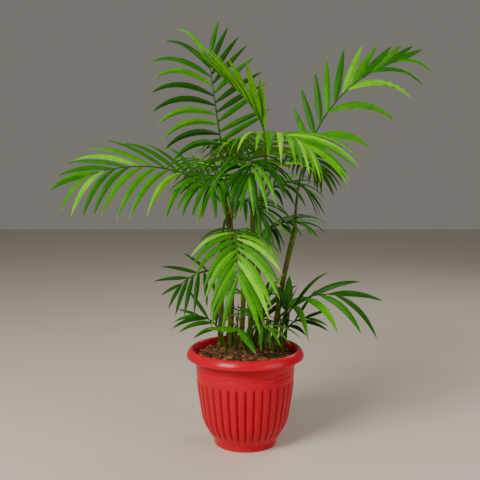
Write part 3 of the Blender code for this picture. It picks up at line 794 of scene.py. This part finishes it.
def rib_direction(frond, share):
    """The way the stem and rib run at a share of their length."""
    lift = math.radians(frond.lift - frond.bow * share ** frond.ease)
    heading = math.radians(frond.heading + frond.swing * share)
    level = math.cos(lift)
    return Vector((level * math.cos(heading), level * math.sin(heading), math.sin(lift)))


def split(frond):
    """The share of a frond's length at which its stem ends and its blade begins."""
    return frond.stem / (frond.stem + frond.blade)


def seat_point(frond):
    """Where a frond's stem begins: on the bark, on a cane's tip or beside a cane."""
    first = rib_direction(frond, 0.5 * split(frond) / SOLID_PARTS)
    place, share = frond.seat
    if place not in CANES:
        return Vector((*frond.seat, SOIL_TOP + GAP + STEM_RADIUS * math.hypot(first.x, first.y)))
    cane = CANES[place]
    middle = cane_point(cane, share)
    if share == 1.0:
        axis = (middle - cane_point(cane, NEAR_TIP)).normalized()
        return middle + axis * (GAP + STEM_RADIUS * first.cross(axis).length)
    heading = math.radians(frond.heading)
    outward = Vector((math.cos(heading), math.sin(heading), 0.0))
    return middle + outward * (cane_radius(cane, share) + STEM_RADIUS * first.z + GAP + BESIDE_CANE)


def rib_curve(frond):
    """The middle line of the stem and rib, one point for each small step."""
    stride = (frond.stem + frond.blade) / RIB_STEPS
    points = [seat_point(frond)]
    for step in range(RIB_STEPS):
        points.append(points[-1] + rib_direction(frond, (step + 0.5) / RIB_STEPS) * stride)
    return points


def along(points, share):
    """The point at a share of a line's length."""
    place = min(max(share, 0.0), 1.0) * (len(points) - 1)
    index = min(int(place), len(points) - 2)
    return points[index].lerp(points[index + 1], place - index)


def frond_frame(frond, share):
    """Directions at a share of the whole rib: along it, to its right and out of its upper face."""
    ahead = rib_direction(frond, share)
    upper = (UP - ahead * UP.dot(ahead)).normalized()
    right = ahead.cross(upper)
    roll = math.radians(frond.roll)
    turned_upper = upper * math.cos(roll) + right * math.sin(roll)
    return ahead, ahead.cross(turned_upper), turned_upper


curves = {name: rib_curve(frond) for name, frond in FRONDS.items()}
print("highest rib tip:", round(max(curve[-1].z for curve in curves.values()), 3), "m")

# %% [markdown]
# ## Stems, ribs and sheaths
#
# A palm frond starts as a sheath that wraps the cane, narrows to a stem and thins out as the rib. The
# sheath is the smooth swelling under each frond. All three are round limbs, so the same bevelled curve
# serves: the sheath's line leaves the middle of the cane and comes out along the stem.

# %% Build stems, ribs and sheaths
STEM_SIDES = 10
RIB_SIDES = 8
STEM_PARTS = 14
RIB_PARTS = 26
STOUTER = 1.22
SHEATH_LENGTH = 0.075
SHEATH_PARTS = 8
SHEATH_SKIN = 0.0011
SHEATH_SWELLING = (0.12, 0.67)
SHEATH_ALONG_STEM = 0.035
SHEATH_END_PARTS = 6
SHEATH_END_SKIN = 0.0002


def tapered(name, start, end, parts, thick, thin):
    """Places and radii between two shares of a frond's line, evenly tapered."""
    shares = [part / parts for part in range(parts + 1)]
    points = [along(curves[name], mix(start, end, share)) for share in shares]
    return points, [STOUTER * mix(thick, thin, share) for share in shares]


def sheath_line(name):
    """Places and radii of the sheath: round the cane below the seat, then round the stem above it."""
    frond = FRONDS[name]
    cane = CANES[frond.seat[0]]
    length = SHEATH_LENGTH / (cane.tip[2] - SOIL_TOP)
    reach = min(SHEATH_ALONG_STEM / (frond.stem + frond.blade), 0.5)
    points = []
    radii = []
    for part in range(SHEATH_PARTS + 1):
        place = frond.seat[1] - length * (1 - part / SHEATH_PARTS)
        swelling = math.sin(math.pi * mix(*SHEATH_SWELLING, part / SHEATH_PARTS))
        points.append(cane_point(cane, place))
        radii.append(cane_radius(cane, place) + SHEATH_SKIN * swelling)
    wide = radii[-1]
    narrow = STOUTER * STEM_RADIUS + SHEATH_END_SKIN
    for part in range(1, SHEATH_END_PARTS + 1):
        share = part / SHEATH_END_PARTS
        points.append(along(curves[name], reach * share))
        radii.append(mix(wide, narrow, math.sin(0.5 * math.pi * share)))
    return points, radii


stem_meshes = []
rib_meshes = {}
sheath_meshes = []
for name, frond in FRONDS.items():
    stem = tapered(name, 0.0, split(frond), STEM_PARTS, STEM_RADIUS, RIB_RADIUS)
    rib = tapered(name, split(frond), 1.0, RIB_PARTS, RIB_RADIUS, RIB_TIP_RADIUS)
    stem_meshes.append(limb(name, *stem, STEM_SIDES))
    rib_meshes[name] = limb(name, *rib, RIB_SIDES)
    if frond.seat[0] in CANES:
        sheath_meshes.append(limb(name, *sheath_line(name), CANE_SIDES))
print("stems:", len(stem_meshes), "sheaths:", len(sheath_meshes))

# %% [markdown]
# Stems and sheaths are streaked as the canes are, in fresher greens. A rib takes the tone of its frond:
# deep for the shaded ones, mid, or bright for those in the light.

# %% Finishes of stems, ribs and sheaths
RIB_GREENS = {
    "deep": ((0.005, 0.040, 0.001), (0.013, 0.072, 0.002)),
    "mid": ((0.009, 0.068, 0.001), (0.026, 0.120, 0.003)),
    "bright": ((0.022, 0.115, 0.002), (0.055, 0.190, 0.004)),
}
toned = {tone: [name for name, frond in FRONDS.items() if frond.tone == tone] for tone in RIB_GREENS}

stem_green = streaked("stem_green", (0.016, 0.050, 0.001), (0.042, 0.090, 0.003), (0.32, 0.5), 260.0)
sheath_green = streaked("sheath_green", (0.040, 0.090, 0.003), (0.100, 0.145, 0.008), (0.35, 0.55), 200.0)
keep("leaf_stems", joined_mesh(stem_meshes, "leaf_stems"), [stem_green],
     ["stem_" + name for name in FRONDS])
keep("leaf_sheaths", joined_mesh(sheath_meshes, "leaf_sheaths"), [sheath_green])
for tone, names in toned.items():
    finish = streaked("rib_" + tone, *RIB_GREENS[tone], (0.35, 0.5), 300.0)
    ribs = joined_mesh([rib_meshes[name] for name in names], "ribs_" + tone)
    keep("ribs_" + tone, ribs, [finish], ["frond_" + name for name in names])

# %% [markdown]
# ## The leaflets
#
# An areca leaflet is a long blade, folded like a roof along its midrib, widest a third of the way out and
# drawn to a fine tip. It leaves the rib stiffly and bends down more and more. There are hundreds, and a
# bmesh for each would be slow, so a leaflet is a short list of corners with a few dozen faces. The two
# rows above catch the light differently at either side of the fold, and the two below are paler.

# %% Shape of a leaflet
WIDEST_AT = 0.34
FOOT_WIDTH = 0.26
TAPER_EASE = 1.9
FOLD = 0.20
LEAF_THICKNESS = 0.0006
SAG_EASE = 1.5
SAG_STEP = 0.06


def leaf_width(share):
    """Width of a leaflet beside its widest, at a share of its length."""
    if share < WIDEST_AT:
        return mix(FOOT_WIDTH, 1.0, math.sin(0.5 * math.pi * share / WIDEST_AT))
    return 1 - ((share - WIDEST_AT) / (1 - WIDEST_AT)) ** TAPER_EASE


def sagging(first, sag, share):
    """The way a blade runs at a share of its length, as it bends down from its first direction."""
    return (first - UP * sag * share ** SAG_EASE).normalized()


def blade_corners(middle, first, face, size, sag, turned, stations, grow=0.0):
    """Corners of a drooping blade, four to a ring: left edge, ridge, right edge and belly, then the tip."""
    length, width = size
    corners = []
    done = 0.0
    for station in stations:
        steps = 1 + int((station - done) / SAG_STEP)
        for step in range(steps):
            way = sagging(first, sag, mix(done, station, (step + 0.5) / steps))
            middle = middle + way * ((station - done) * length / steps)
        done = station
        way = sagging(first, sag, station)
        if station == 1.0:
            return corners + [middle + way * grow]
        normal = (face - way * face.dot(way)).normalized()
        twist = math.radians(turned * station)
        across = way.cross(normal) * math.cos(twist) + normal * math.sin(twist)
        normal = across.cross(way)
        half = 0.5 * width * leaf_width(station) + grow
        ridge = 2 * half * FOLD + grow
        corners += [
            middle - across * half - normal * grow,
            middle + normal * (ridge + 0.5 * LEAF_THICKNESS),
            middle + across * half - normal * grow,
            middle + normal * (ridge - 0.5 * LEAF_THICKNESS - grow),
        ]


def leaflet_faces(rings):
    """Faces of a leaflet with so many rings: the upper two of each part, the lower two and the ends."""
    above = []
    below = [(3, 2, 1, 0)]
    for ring in range(rings - 1):
        a = 4 * ring
        above += [(a, a + 1, a + 5, a + 4), (a + 1, a + 2, a + 6, a + 5)]
        below += [(a + 2, a + 3, a + 7, a + 6), (a + 3, a, a + 4, a + 7)]
    a = 4 * (rings - 1)
    above += [(a, a + 1, a + 4), (a + 1, a + 2, a + 4)]
    below += [(a + 2, a + 3, a + 4), (a + 3, a, a + 4)]
    return above, below


# Where a leaflet has its rings: the fine one that is kept, and the rough one that tries a place
STATIONS = (0.0, 0.06, 0.15, 0.26, 0.38, 0.50, 0.62, 0.73, 0.83, 0.92, 1.0)
COARSE = (0.0, 0.33, 0.70, 1.0)
ABOVE, BELOW = leaflet_faces(len(STATIONS) - 1)
COARSE_FACES = sum(leaflet_faces(len(COARSE) - 1), [])
LEAF_CORNERS = 4 * (len(STATIONS) - 1) + 1
print("faces of a leaflet:", len(ABOVE) + len(BELOW))

# %% [markdown]
# Where a leaflet starts and which way it points follow from its share of the blade. The middle leaflets
# are the longest. Each is also turned, bent and twisted a little by chance, so that no two are alike.

# %% A leaflet's place on its frond
FIRST_LEAFLET = 0.006
LAST_LEAFLET = 0.004
LONGEST_AT = 0.4
FOOT_EASE = 1.5
TIP_EASE = 1.8
LEAF_WIDTH = 0.106
EVEN_WIDTH = 0.65
LEAST_SPREAD = 8.0
JITTER = 4.0
TWIST = 13.0
LENGTH_JITTER = 0.012
SAG_JITTER = 0.05


def leaf_share(share, ends):
    """Length of a leaflet beside the longest one, at a share of the blade."""
    if share < LONGEST_AT:
        return 1 - (1 - ends[0]) * ((LONGEST_AT - share) / LONGEST_AT) ** FOOT_EASE
    return 1 - (1 - ends[1]) * ((share - LONGEST_AT) / (1 - LONGEST_AT)) ** TIP_EASE


def raised(outward, upper, rise):
    """An outward direction lifted by an angle, and the upper face that tilts back with it."""
    lifted = outward * math.cos(rise) + upper * math.sin(rise)
    return lifted, upper * math.cos(rise) - outward * math.sin(rise)


def leaflet_blade(name, side, share, jitter, turn, slim):
    """Start, direction, face, size, sag and twist of one leaflet, by the rule of the solids."""
    frond = FRONDS[name]
    kind = frond.left if side < 0 else frond.right
    rise_turn, spread_turn, length_share = turn
    whole = frond.stem + frond.blade
    place = mix(frond.stem + FIRST_LEAFLET, whole - LAST_LEAFLET, share) / whole
    ahead, right, upper = frond_frame(frond, place)
    spread = mix(kind.foot, kind.tip, share ** kind.ease) + spread_turn + jitter[0]
    spread = math.radians(max(spread, LEAST_SPREAD))
    out, face = raised(right * side, upper, math.radians(kind.rise + rise_turn + jitter[1]))
    first = ahead * math.cos(spread) + out * math.sin(spread)
    size = leaf_share(share, frond.ends)
    length = kind.leaf * size * length_share * (1 + LENGTH_JITTER * jitter[0])
    width = LEAF_WIDTH * kind.leaf * mix(size, 1.0, EVEN_WIDTH) * frond.broad * slim
    sag = kind.sag * (1 + SAG_JITTER * jitter[1])
    return along(curves[name], place), first, face, (length, width), sag, TWIST * jitter[1] / JITTER


print("last leaflet beside the longest:", round(leaf_share(1.0, FRONDS["left"].ends), 3))

# %% [markdown]
# The leaflets are grown one by one. Each is tried as a rough blade, a little swollen, against all that
# stands already: canes, stems, other ribs and earlier fronds. Where it would touch, it turns aside or gets
# shorter, and it is left out only where no turn is clear.

# %% Grow the leaflets
CLEARANCE = 0.0006
RIGHT_LAG = 0.3

# Fronds with more leaflets than their solids, and the width of a frond's leaflets beside the rule's
FULLER = 1.30
FULLER_WIDTH = 0.78
FULLER_FRONDS = (
    "centre_front", "centre_back", "centre_dark", "centre_right", "centre_low",
    "back", "back_left", "back_right", "low_back", "top_bright",
)
USUAL_WIDTH = 0.80
WIDTHS = {
    "front_hanging": 0.9, "front_shoot": 1.0, "young_shoot": 1.1, "low_middle": 1.2, "low_right": 1.15,
    "low_left": 1.0, "low_left_small": 1.0, "low_right_small": 1.0, "right": 0.9, "top_bright": 1.0,
}

# How often each of three tints is dealt out, from dark to light
DARKER_FRONDS = ("top_bright", "low_left", "centre_left")
DARKER_TINTS = (9, 1, 0)
USUAL_TINTS = (5, 3, 2)

# Turns tried in order until a leaflet is clear of other pieces: rise, spread, share of length
TRIES = [
    (0, 0, 1.0), (10, 0, 1.0), (-10, 0, 1.0), (0, 7, 1.0), (0, -7, 1.0), (18, 6, 1.0), (-18, -6, 1.0),
    (28, -8, 0.95), (-28, 8, 0.95), (14, 10, 0.8), (-14, -10, 0.8), (36, 0, 0.75),
    (0, 14, 0.65), (0, -14, 0.65), (22, 0, 0.5), (-22, 0, 0.5),
]


def space_of(mesh):
    """A finished mesh as a search tree, which tells what would touch it."""
    corners = [vert.co for vert in mesh.vertices]
    return BVHTree.FromPolygons(corners, [face.vertices for face in mesh.polygons])


def clear(shape, others):
    """Whether a search tree touches none of the others."""
    return not any(shape.overlap(other) for other in others)


def packed(leaflets):
    """Corners and faces of many leaflets, in one list each."""
    corners = [tuple(corner) for points, tint in leaflets for corner in points]
    starts = range(0, len(corners), LEAF_CORNERS)
    return corners, [tuple(start + corner for corner in face) for start in starts for face in ABOVE + BELOW]


def grow_frond(name, taken):
    """Every leaflet of a frond that finds room: its corners, and the tint that it gets."""
    chance = random.Random(name)
    tint = random.Random(name + " tint")
    tints = DARKER_TINTS if name in DARKER_FRONDS else USUAL_TINTS
    fuller = name in FULLER_FRONDS
    slim = WIDTHS.get(name, FULLER_WIDTH if fuller else USUAL_WIDTH)
    grown = []
    for side, lag, kind in ((-1, 0.0, FRONDS[name].left), (1, RIGHT_LAG, FRONDS[name].right)):
        count = round(kind.count * FULLER) if fuller else kind.count
        for number in range(count):
            share = (number + lag) / max(count - (1 - RIGHT_LAG), 1)
            jitter = (chance.uniform(-JITTER, JITTER), chance.uniform(-JITTER, JITTER))
            for turn in TRIES:
                blade = leaflet_blade(name, side, share, jitter, turn, slim)
                rough = BVHTree.FromPolygons(blade_corners(*blade, COARSE, CLEARANCE), COARSE_FACES)
                if clear(rough, taken):
                    grown.append((blade_corners(*blade, STATIONS), tint.choices((0, 1, 2), tints)[0]))
                    break
    return grown


rib_spaces = {name: space_of(mesh) for name, mesh in rib_meshes.items()}
taken = [space_of(mesh) for mesh in stem_meshes]
taken += [space_of(bpy.data.objects[name + "_bark"].data) for name in CANES]
grown = {}
for name in FRONDS:
    others = [space for other, space in rib_spaces.items() if other != name]
    grown[name] = grow_frond(name, taken + others)
    taken.append(BVHTree.FromPolygons(*packed(grown[name])))
print("leaflets:", sum(len(leaflets) for leaflets in grown.values()))

# %% [markdown]
# A leaflet's skin is waxy. Fine veins run along it, its midrib is a pale line, and its tip turns yellow.
# The UV map says where on a leaflet a point lies. Each tone of frond has three tints that are dealt out
# leaflet by leaflet, and one paler and duller green for all the undersides. The tones are painted shade and
# light: deep greens for the shaded fronds, mid, and bright greens for those in the light.

# %% Leaf finishes
# The tones' greens are painted shade and light: deep for shaded fronds, mid, and bright for lit ones
TINTS = {
    "deep": [(0.005, 0.075, 0.001), (0.014, 0.145, 0.001), (0.048, 0.290, 0.002)],
    "mid": [(0.012, 0.125, 0.001), (0.031, 0.222, 0.001), (0.098, 0.430, 0.002)],
    "bright": [(0.025, 0.190, 0.001), (0.064, 0.325, 0.001), (0.155, 0.540, 0.003)],
}
UNDERSIDES = {"deep": (0.020, 0.130, 0.002), "mid": (0.038, 0.195, 0.003), "bright": (0.075, 0.285, 0.003)}
UNDER_SLOT = 3
YELLOW_TIP = (0.30, 0.26, 0.05)

# Where each corner of a ring lies across the leaflet, from 0 at its left edge to 1 at its right edge
ACROSS = (0.0, 0.5, 1.0, 0.5)


def leaf_skin(name, colour, roughness, coat):
    """Waxy leaf skin with veins, a paler midrib and a yellow tip."""
    gloss = dict(Specular_IOR_Level=0.10, Coat_Weight=coat, Coat_Roughness=0.40)
    material = plain_material(name, colour, roughness, **gloss)
    tree = material.node_tree
    red, green, blue = colour
    darker = (0.72 * red, 0.72 * green, 0.72 * blue)
    lighter = (1.5 * red + 0.006, 1.25 * green, 1.2 * blue)
    paler = (1.7 * red + 0.015, 1.35 * green + 0.02, 2 * blue + 0.002)
    spot = add_node(tree, "ShaderNodeTexCoord", (-1300, 0)).outputs["UV"]
    parts = add_node(tree, "ShaderNodeSeparateXYZ", (-1120, 0), Vector=spot)
    beside = maths(tree, "SUBTRACT", (parts.outputs["X"], 0.5), (-940, 0))
    away = maths(tree, "ABSOLUTE", (beside,), (-780, 0))
    midrib = ranged(tree, away, 0.55, 0.0, (-620, 0), 0.0, 0.07)
    tip = ranged(tree, parts.outputs["Y"], 0.0, 0.8, (-620, -260), 0.90, 1.0)
    patches = masked(tree, MOTTLE, (-1120, 350), Scale=30.0)
    veins = masked(tree, FIBRES, (-620, -520), Across=44.0, Along=2.5)
    mottled = tinted(tree, patches, darker, lighter, (-700, 350))
    ribbed = tinted(tree, midrib, mottled, paler, (-420, 300))
    paint(
        material,
        Base_Color=tinted(tree, tip, ribbed, YELLOW_TIP, (-200, 300)),
        Roughness=ranged(tree, veins, roughness - 0.05, roughness + 0.08, (-200, 0)),
        Normal=bumped(tree, veins, 0.2, 0.0002, (-200, -300)),
    )
    return material


def leaflets_mesh(name, leaflets):
    """Many leaflets as one mesh, with their slots and a UV map across and along each."""
    mesh = bpy.data.meshes.new(name)
    corners, faces = packed(leaflets)
    mesh.from_pydata(corners, [], faces)
    slots = []
    for points, tint in leaflets:
        slots += [tint] * len(ABOVE) + [UNDER_SLOT] * len(BELOW)
    mesh.polygons.foreach_set("material_index", slots)
    spots = []
    for corner in chain.from_iterable(faces):
        ring, place = divmod(corner % LEAF_CORNERS, 4)
        spots += [0.5 if STATIONS[ring] == 1.0 else ACROSS[place], STATIONS[ring]]
    mesh.uv_layers.new(name="leaf").data.foreach_set("uv", spots)
    return mesh


leaf_skins = {}
for tone, names in toned.items():
    skins = [leaf_skin(f"leaf_{tone}_{number}", tint, 0.50, 0.05) for number, tint in enumerate(TINTS[tone])]
    leaf_skins[tone] = skins + [leaf_skin(f"leaf_{tone}_under", UNDERSIDES[tone], 0.6, 0.0)]
    mesh = leaflets_mesh("leaflets_" + tone, [leaf for name in names for leaf in grown[name]])
    replaced = ["frond_" + name for name in names]
    keep("leaflets_" + tone, mesh, leaf_skins[tone], replaced, sharp=16.0)

# %% [markdown]
# ## Young growth
#
# Between the canes stand young shoots: thin pointed spears that are still rolled up, and the taller of
# them bear a few short dark leaves. They are too small for the solids. Each shoot and each leaf is tried
# at a random place in the clump and stays only if it touches nothing.

# %% Young shoots
SHOOT_COUNT = 22
SHOOT_TRIES = 200
SHOOT_ACROSS = (-0.062, 0.098)
SHOOT_DEPTH = (0.000, 0.084)
SHOOT_HEIGHT = (0.035, 0.230)
SHOOT_RADIUS = (0.0020, 0.0032)
LEAN_ACROSS = (-0.25, 0.25)
LEAN_DEPTH = (-0.25, 0.12)
FOOT_SWELLING = 0.12
FOOT_SHARE = 0.2
BLUNT_TIP = 0.0015
SHOOT_PARTS = 12
LEAFY_HEIGHT = 0.07
LEAFY_PARTS = (5, 12)
LEAF_TRIES = 18
SHORT_LEAF = (0.050, 0.110)
SHORT_LEAF_WIDTH = 0.19
SHORT_LEAF_RISE = (15, 65)
SHORT_LEAF_SAG = (0.6, 1.5)
CLUMP_RADIUS = 0.118
CLUMP_FLOOR = SOIL_TOP + 0.018


def shoot_line(chance):
    """Places and radii along one spear, which leans a little and bends back upright."""
    foot = Vector((chance.uniform(*SHOOT_ACROSS), chance.uniform(*SHOOT_DEPTH), SOIL_TOP + GAP))
    height = chance.uniform(*SHOOT_HEIGHT)
    lean = Vector((chance.uniform(*LEAN_ACROSS), chance.uniform(*LEAN_DEPTH), 0.0))
    thick = chance.uniform(*SHOOT_RADIUS)
    points = []
    radii = []
    for part in range(SHOOT_PARTS + 1):
        share = part / SHOOT_PARTS
        points.append(foot + (UP * share + lean * math.sin(0.5 * math.pi * share)) * height)
        swelling = 1 + FOOT_SWELLING - FOOT_SWELLING * min(share / FOOT_SHARE, 1.0)
        radii.append(thick * swelling * math.sqrt(1 + BLUNT_TIP - share))
    return points, radii


def short_blade(points, radii, chance):
    """Start, direction, face, size, sag and twist of one short leaf, at a random place on a shoot."""
    step = chance.randrange(*LEAFY_PARTS)
    turn = chance.uniform(0.0, math.tau)
    outward = Vector((math.cos(turn), math.sin(turn), 0.0))
    first, face = raised(outward, UP, math.radians(chance.uniform(*SHORT_LEAF_RISE)))
    start = points[step] + first * (radii[step] + 2 * CLEARANCE)
    length = chance.uniform(*SHORT_LEAF)
    size = (length, SHORT_LEAF_WIDTH * length)
    return start, first, face, size, chance.uniform(*SHORT_LEAF_SAG), chance.uniform(-TWIST, TWIST)


chance = random.Random("shoots")
standing = list(rib_spaces.values()) + taken
shoots = []
short_leaves = []
for attempt in range(SHOOT_TRIES):
    if len(shoots) == SHOOT_COUNT:
        break
    points, radii = shoot_line(chance)
    mesh = limb("shoot", points, radii, STEM_SIDES)
    space = space_of(mesh)
    if not clear(space, standing):
        continue
    shoots.append(mesh)
    standing.append(space)
    if points[-1].z < SOIL_TOP + LEAFY_HEIGHT:
        continue
    for leaf in range(LEAF_TRIES):
        blade = short_blade(points, radii, chance)
        rough = blade_corners(*blade, COARSE, CLEARANCE)
        if any(corner.z < CLUMP_FLOOR or corner.xy.length > CLUMP_RADIUS for corner in rough):
            continue
        space = BVHTree.FromPolygons(rough, COARSE_FACES)
        if clear(space, standing):
            short_leaves.append((blade_corners(*blade, STATIONS), chance.choice((0, 1))))
            standing.append(space)
shoot_green = streaked("shoot_green", (0.032, 0.075, 0.002), (0.110, 0.150, 0.006), (0.38, 0.55), 180.0)
keep("young_shoots", joined_mesh(shoots, "young_shoots"), [shoot_green])
mesh = leaflets_mesh("short_leaves", short_leaves)
keep("short_leaves", mesh, leaf_skins["deep"], sharp=16.0)
print("shoots:", len(shoots), "short leaves:", len(short_leaves))

# %% [markdown]
# ## Bark chips
#
# The filling is coarse composted bark: dark, damp crumbs with lighter chips on top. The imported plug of
# potting mix stays as the ground under them. A chip is a jittered block, flattened and turned, and over a
# thousand of them are joined into one mesh with three colours dealt out chip by chip.

# %% Scatter the chips
CHIP_COUNT = 1150
CHIP_RING = 0.1195
CHIP_SIZE = (0.0055, 0.0165)
CHIP_EASE = 1.6
CHIP_BREADTH = (0.45, 0.8)
CHIP_FLATNESS = (0.2, 0.4)
CHIP_EDGE = (0.6, 1.1)
ROOF_SHIFT = 0.15
ROOF_HEIGHT = 1.5
CHIP_RISE = (0.0005, 0.0055)
HEAPED = 1.2
CHIP_LEAN = 0.35
CHIP_TINTS = (44, 36, 20)

# A chip lies turned by this many times its angle round the pot, which looks like chance
CHIP_SPIN = 7

# Sides of the block, then a low roof on its top and bottom
CHIP_FACES = [
    (0, 1, 3, 2), (4, 6, 7, 5), (0, 4, 5, 1), (2, 3, 7, 6),
    (1, 5, 8), (5, 7, 8), (7, 3, 8), (3, 1, 8),
    (4, 0, 9), (6, 4, 9), (2, 6, 9), (0, 2, 9),
]


def chip_corners(chance):
    """Eight corners and a bulged top and bottom of one rough chip, long, broad and flat."""
    half = 0.5 * mix(*CHIP_SIZE, chance.random() ** CHIP_EASE)
    half = Vector((half, half * chance.uniform(*CHIP_BREADTH), half * chance.uniform(*CHIP_FLATNESS)))
    corners = []
    for signs in product((-1, 1), repeat=3):
        corners.append(Vector([sign * side * chance.uniform(*CHIP_EDGE) for sign, side in zip(signs, half)]))
    roof = Vector((ROOF_SHIFT * half.x, 0.0, ROOF_HEIGHT * half.z))
    return corners + [roof, -roof]


chance = random.Random("chips")
corners = []
faces = []
slots = []
for number in range(CHIP_COUNT):
    shape = chip_corners(chance)
    turn = chance.uniform(0.0, math.tau)
    distance = CHIP_RING * math.sqrt(chance.random())
    lean = Vector((chance.gauss(0, CHIP_LEAN), chance.gauss(0, CHIP_LEAN), 1.0)).normalized()
    facing = lean.to_track_quat("Z", "Y")
    level = SOIL_TOP + chance.uniform(*CHIP_RISE) * (HEAPED - (distance / CHIP_RING) ** 2)
    centre = Vector((distance * math.cos(turn), distance * math.sin(turn), level))
    spin = Vector((math.cos(CHIP_SPIN * turn), math.sin(CHIP_SPIN * turn)))
    faces += [tuple(len(corners) + corner for corner in face) for face in CHIP_FACES]
    for corner in shape:
        x = corner.x * spin.x - corner.y * spin.y
        y = corner.x * spin.y + corner.y * spin.x
        corners.append(tuple(centre + facing @ Vector((x, y, corner.z))))
    slots += chance.choices((0, 1, 2), CHIP_TINTS) * len(CHIP_FACES)
chips_mesh = bpy.data.meshes.new("bark_chips")
chips_mesh.from_pydata(corners, [], faces)
chips_mesh.polygons.foreach_set("material_index", slots)
print("chips:", CHIP_COUNT)

# %% [markdown]
# Damp bark is dull. Its two browns lie in coarse patches, and the mask that parts them also raises a
# crumbly relief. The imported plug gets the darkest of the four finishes.

# %% Bark finishes


def damp_bark(name, light, dark):
    """Damp bark: two browns in coarse patches, dull, with a crumbly relief."""
    material = plain_material(name, light, 0.85)
    tree = material.node_tree
    mask = masked(tree, MOTTLE, (-700, 150), Scale=260.0)
    paint(
        material,
        Base_Color=tinted(tree, mask, light, dark, (-350, 250)),
        Roughness=ranged(tree, mask, 0.7, 0.95, (-350, 0)),
        Normal=bumped(tree, mask, 0.6, 0.0010, (-350, -250)),
    )
    return material


chip_dark = damp_bark("chip_dark", (0.070, 0.029, 0.009), (0.025, 0.010, 0.003))
chip_brown = damp_bark("chip_brown", (0.180, 0.070, 0.022), (0.065, 0.025, 0.009))
chip_tan = damp_bark("chip_tan", (0.42, 0.180, 0.068), (0.20, 0.082, 0.030))
soil = damp_bark("damp_soil", (0.034, 0.015, 0.006), (0.012, 0.005, 0.002))
keep("bark_chips", chips_mesh, [chip_dark, chip_brown, chip_tan], sharp=20.0)
for plug_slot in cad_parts["potting_mix"].material_slots:
    plug_slot.material = soil
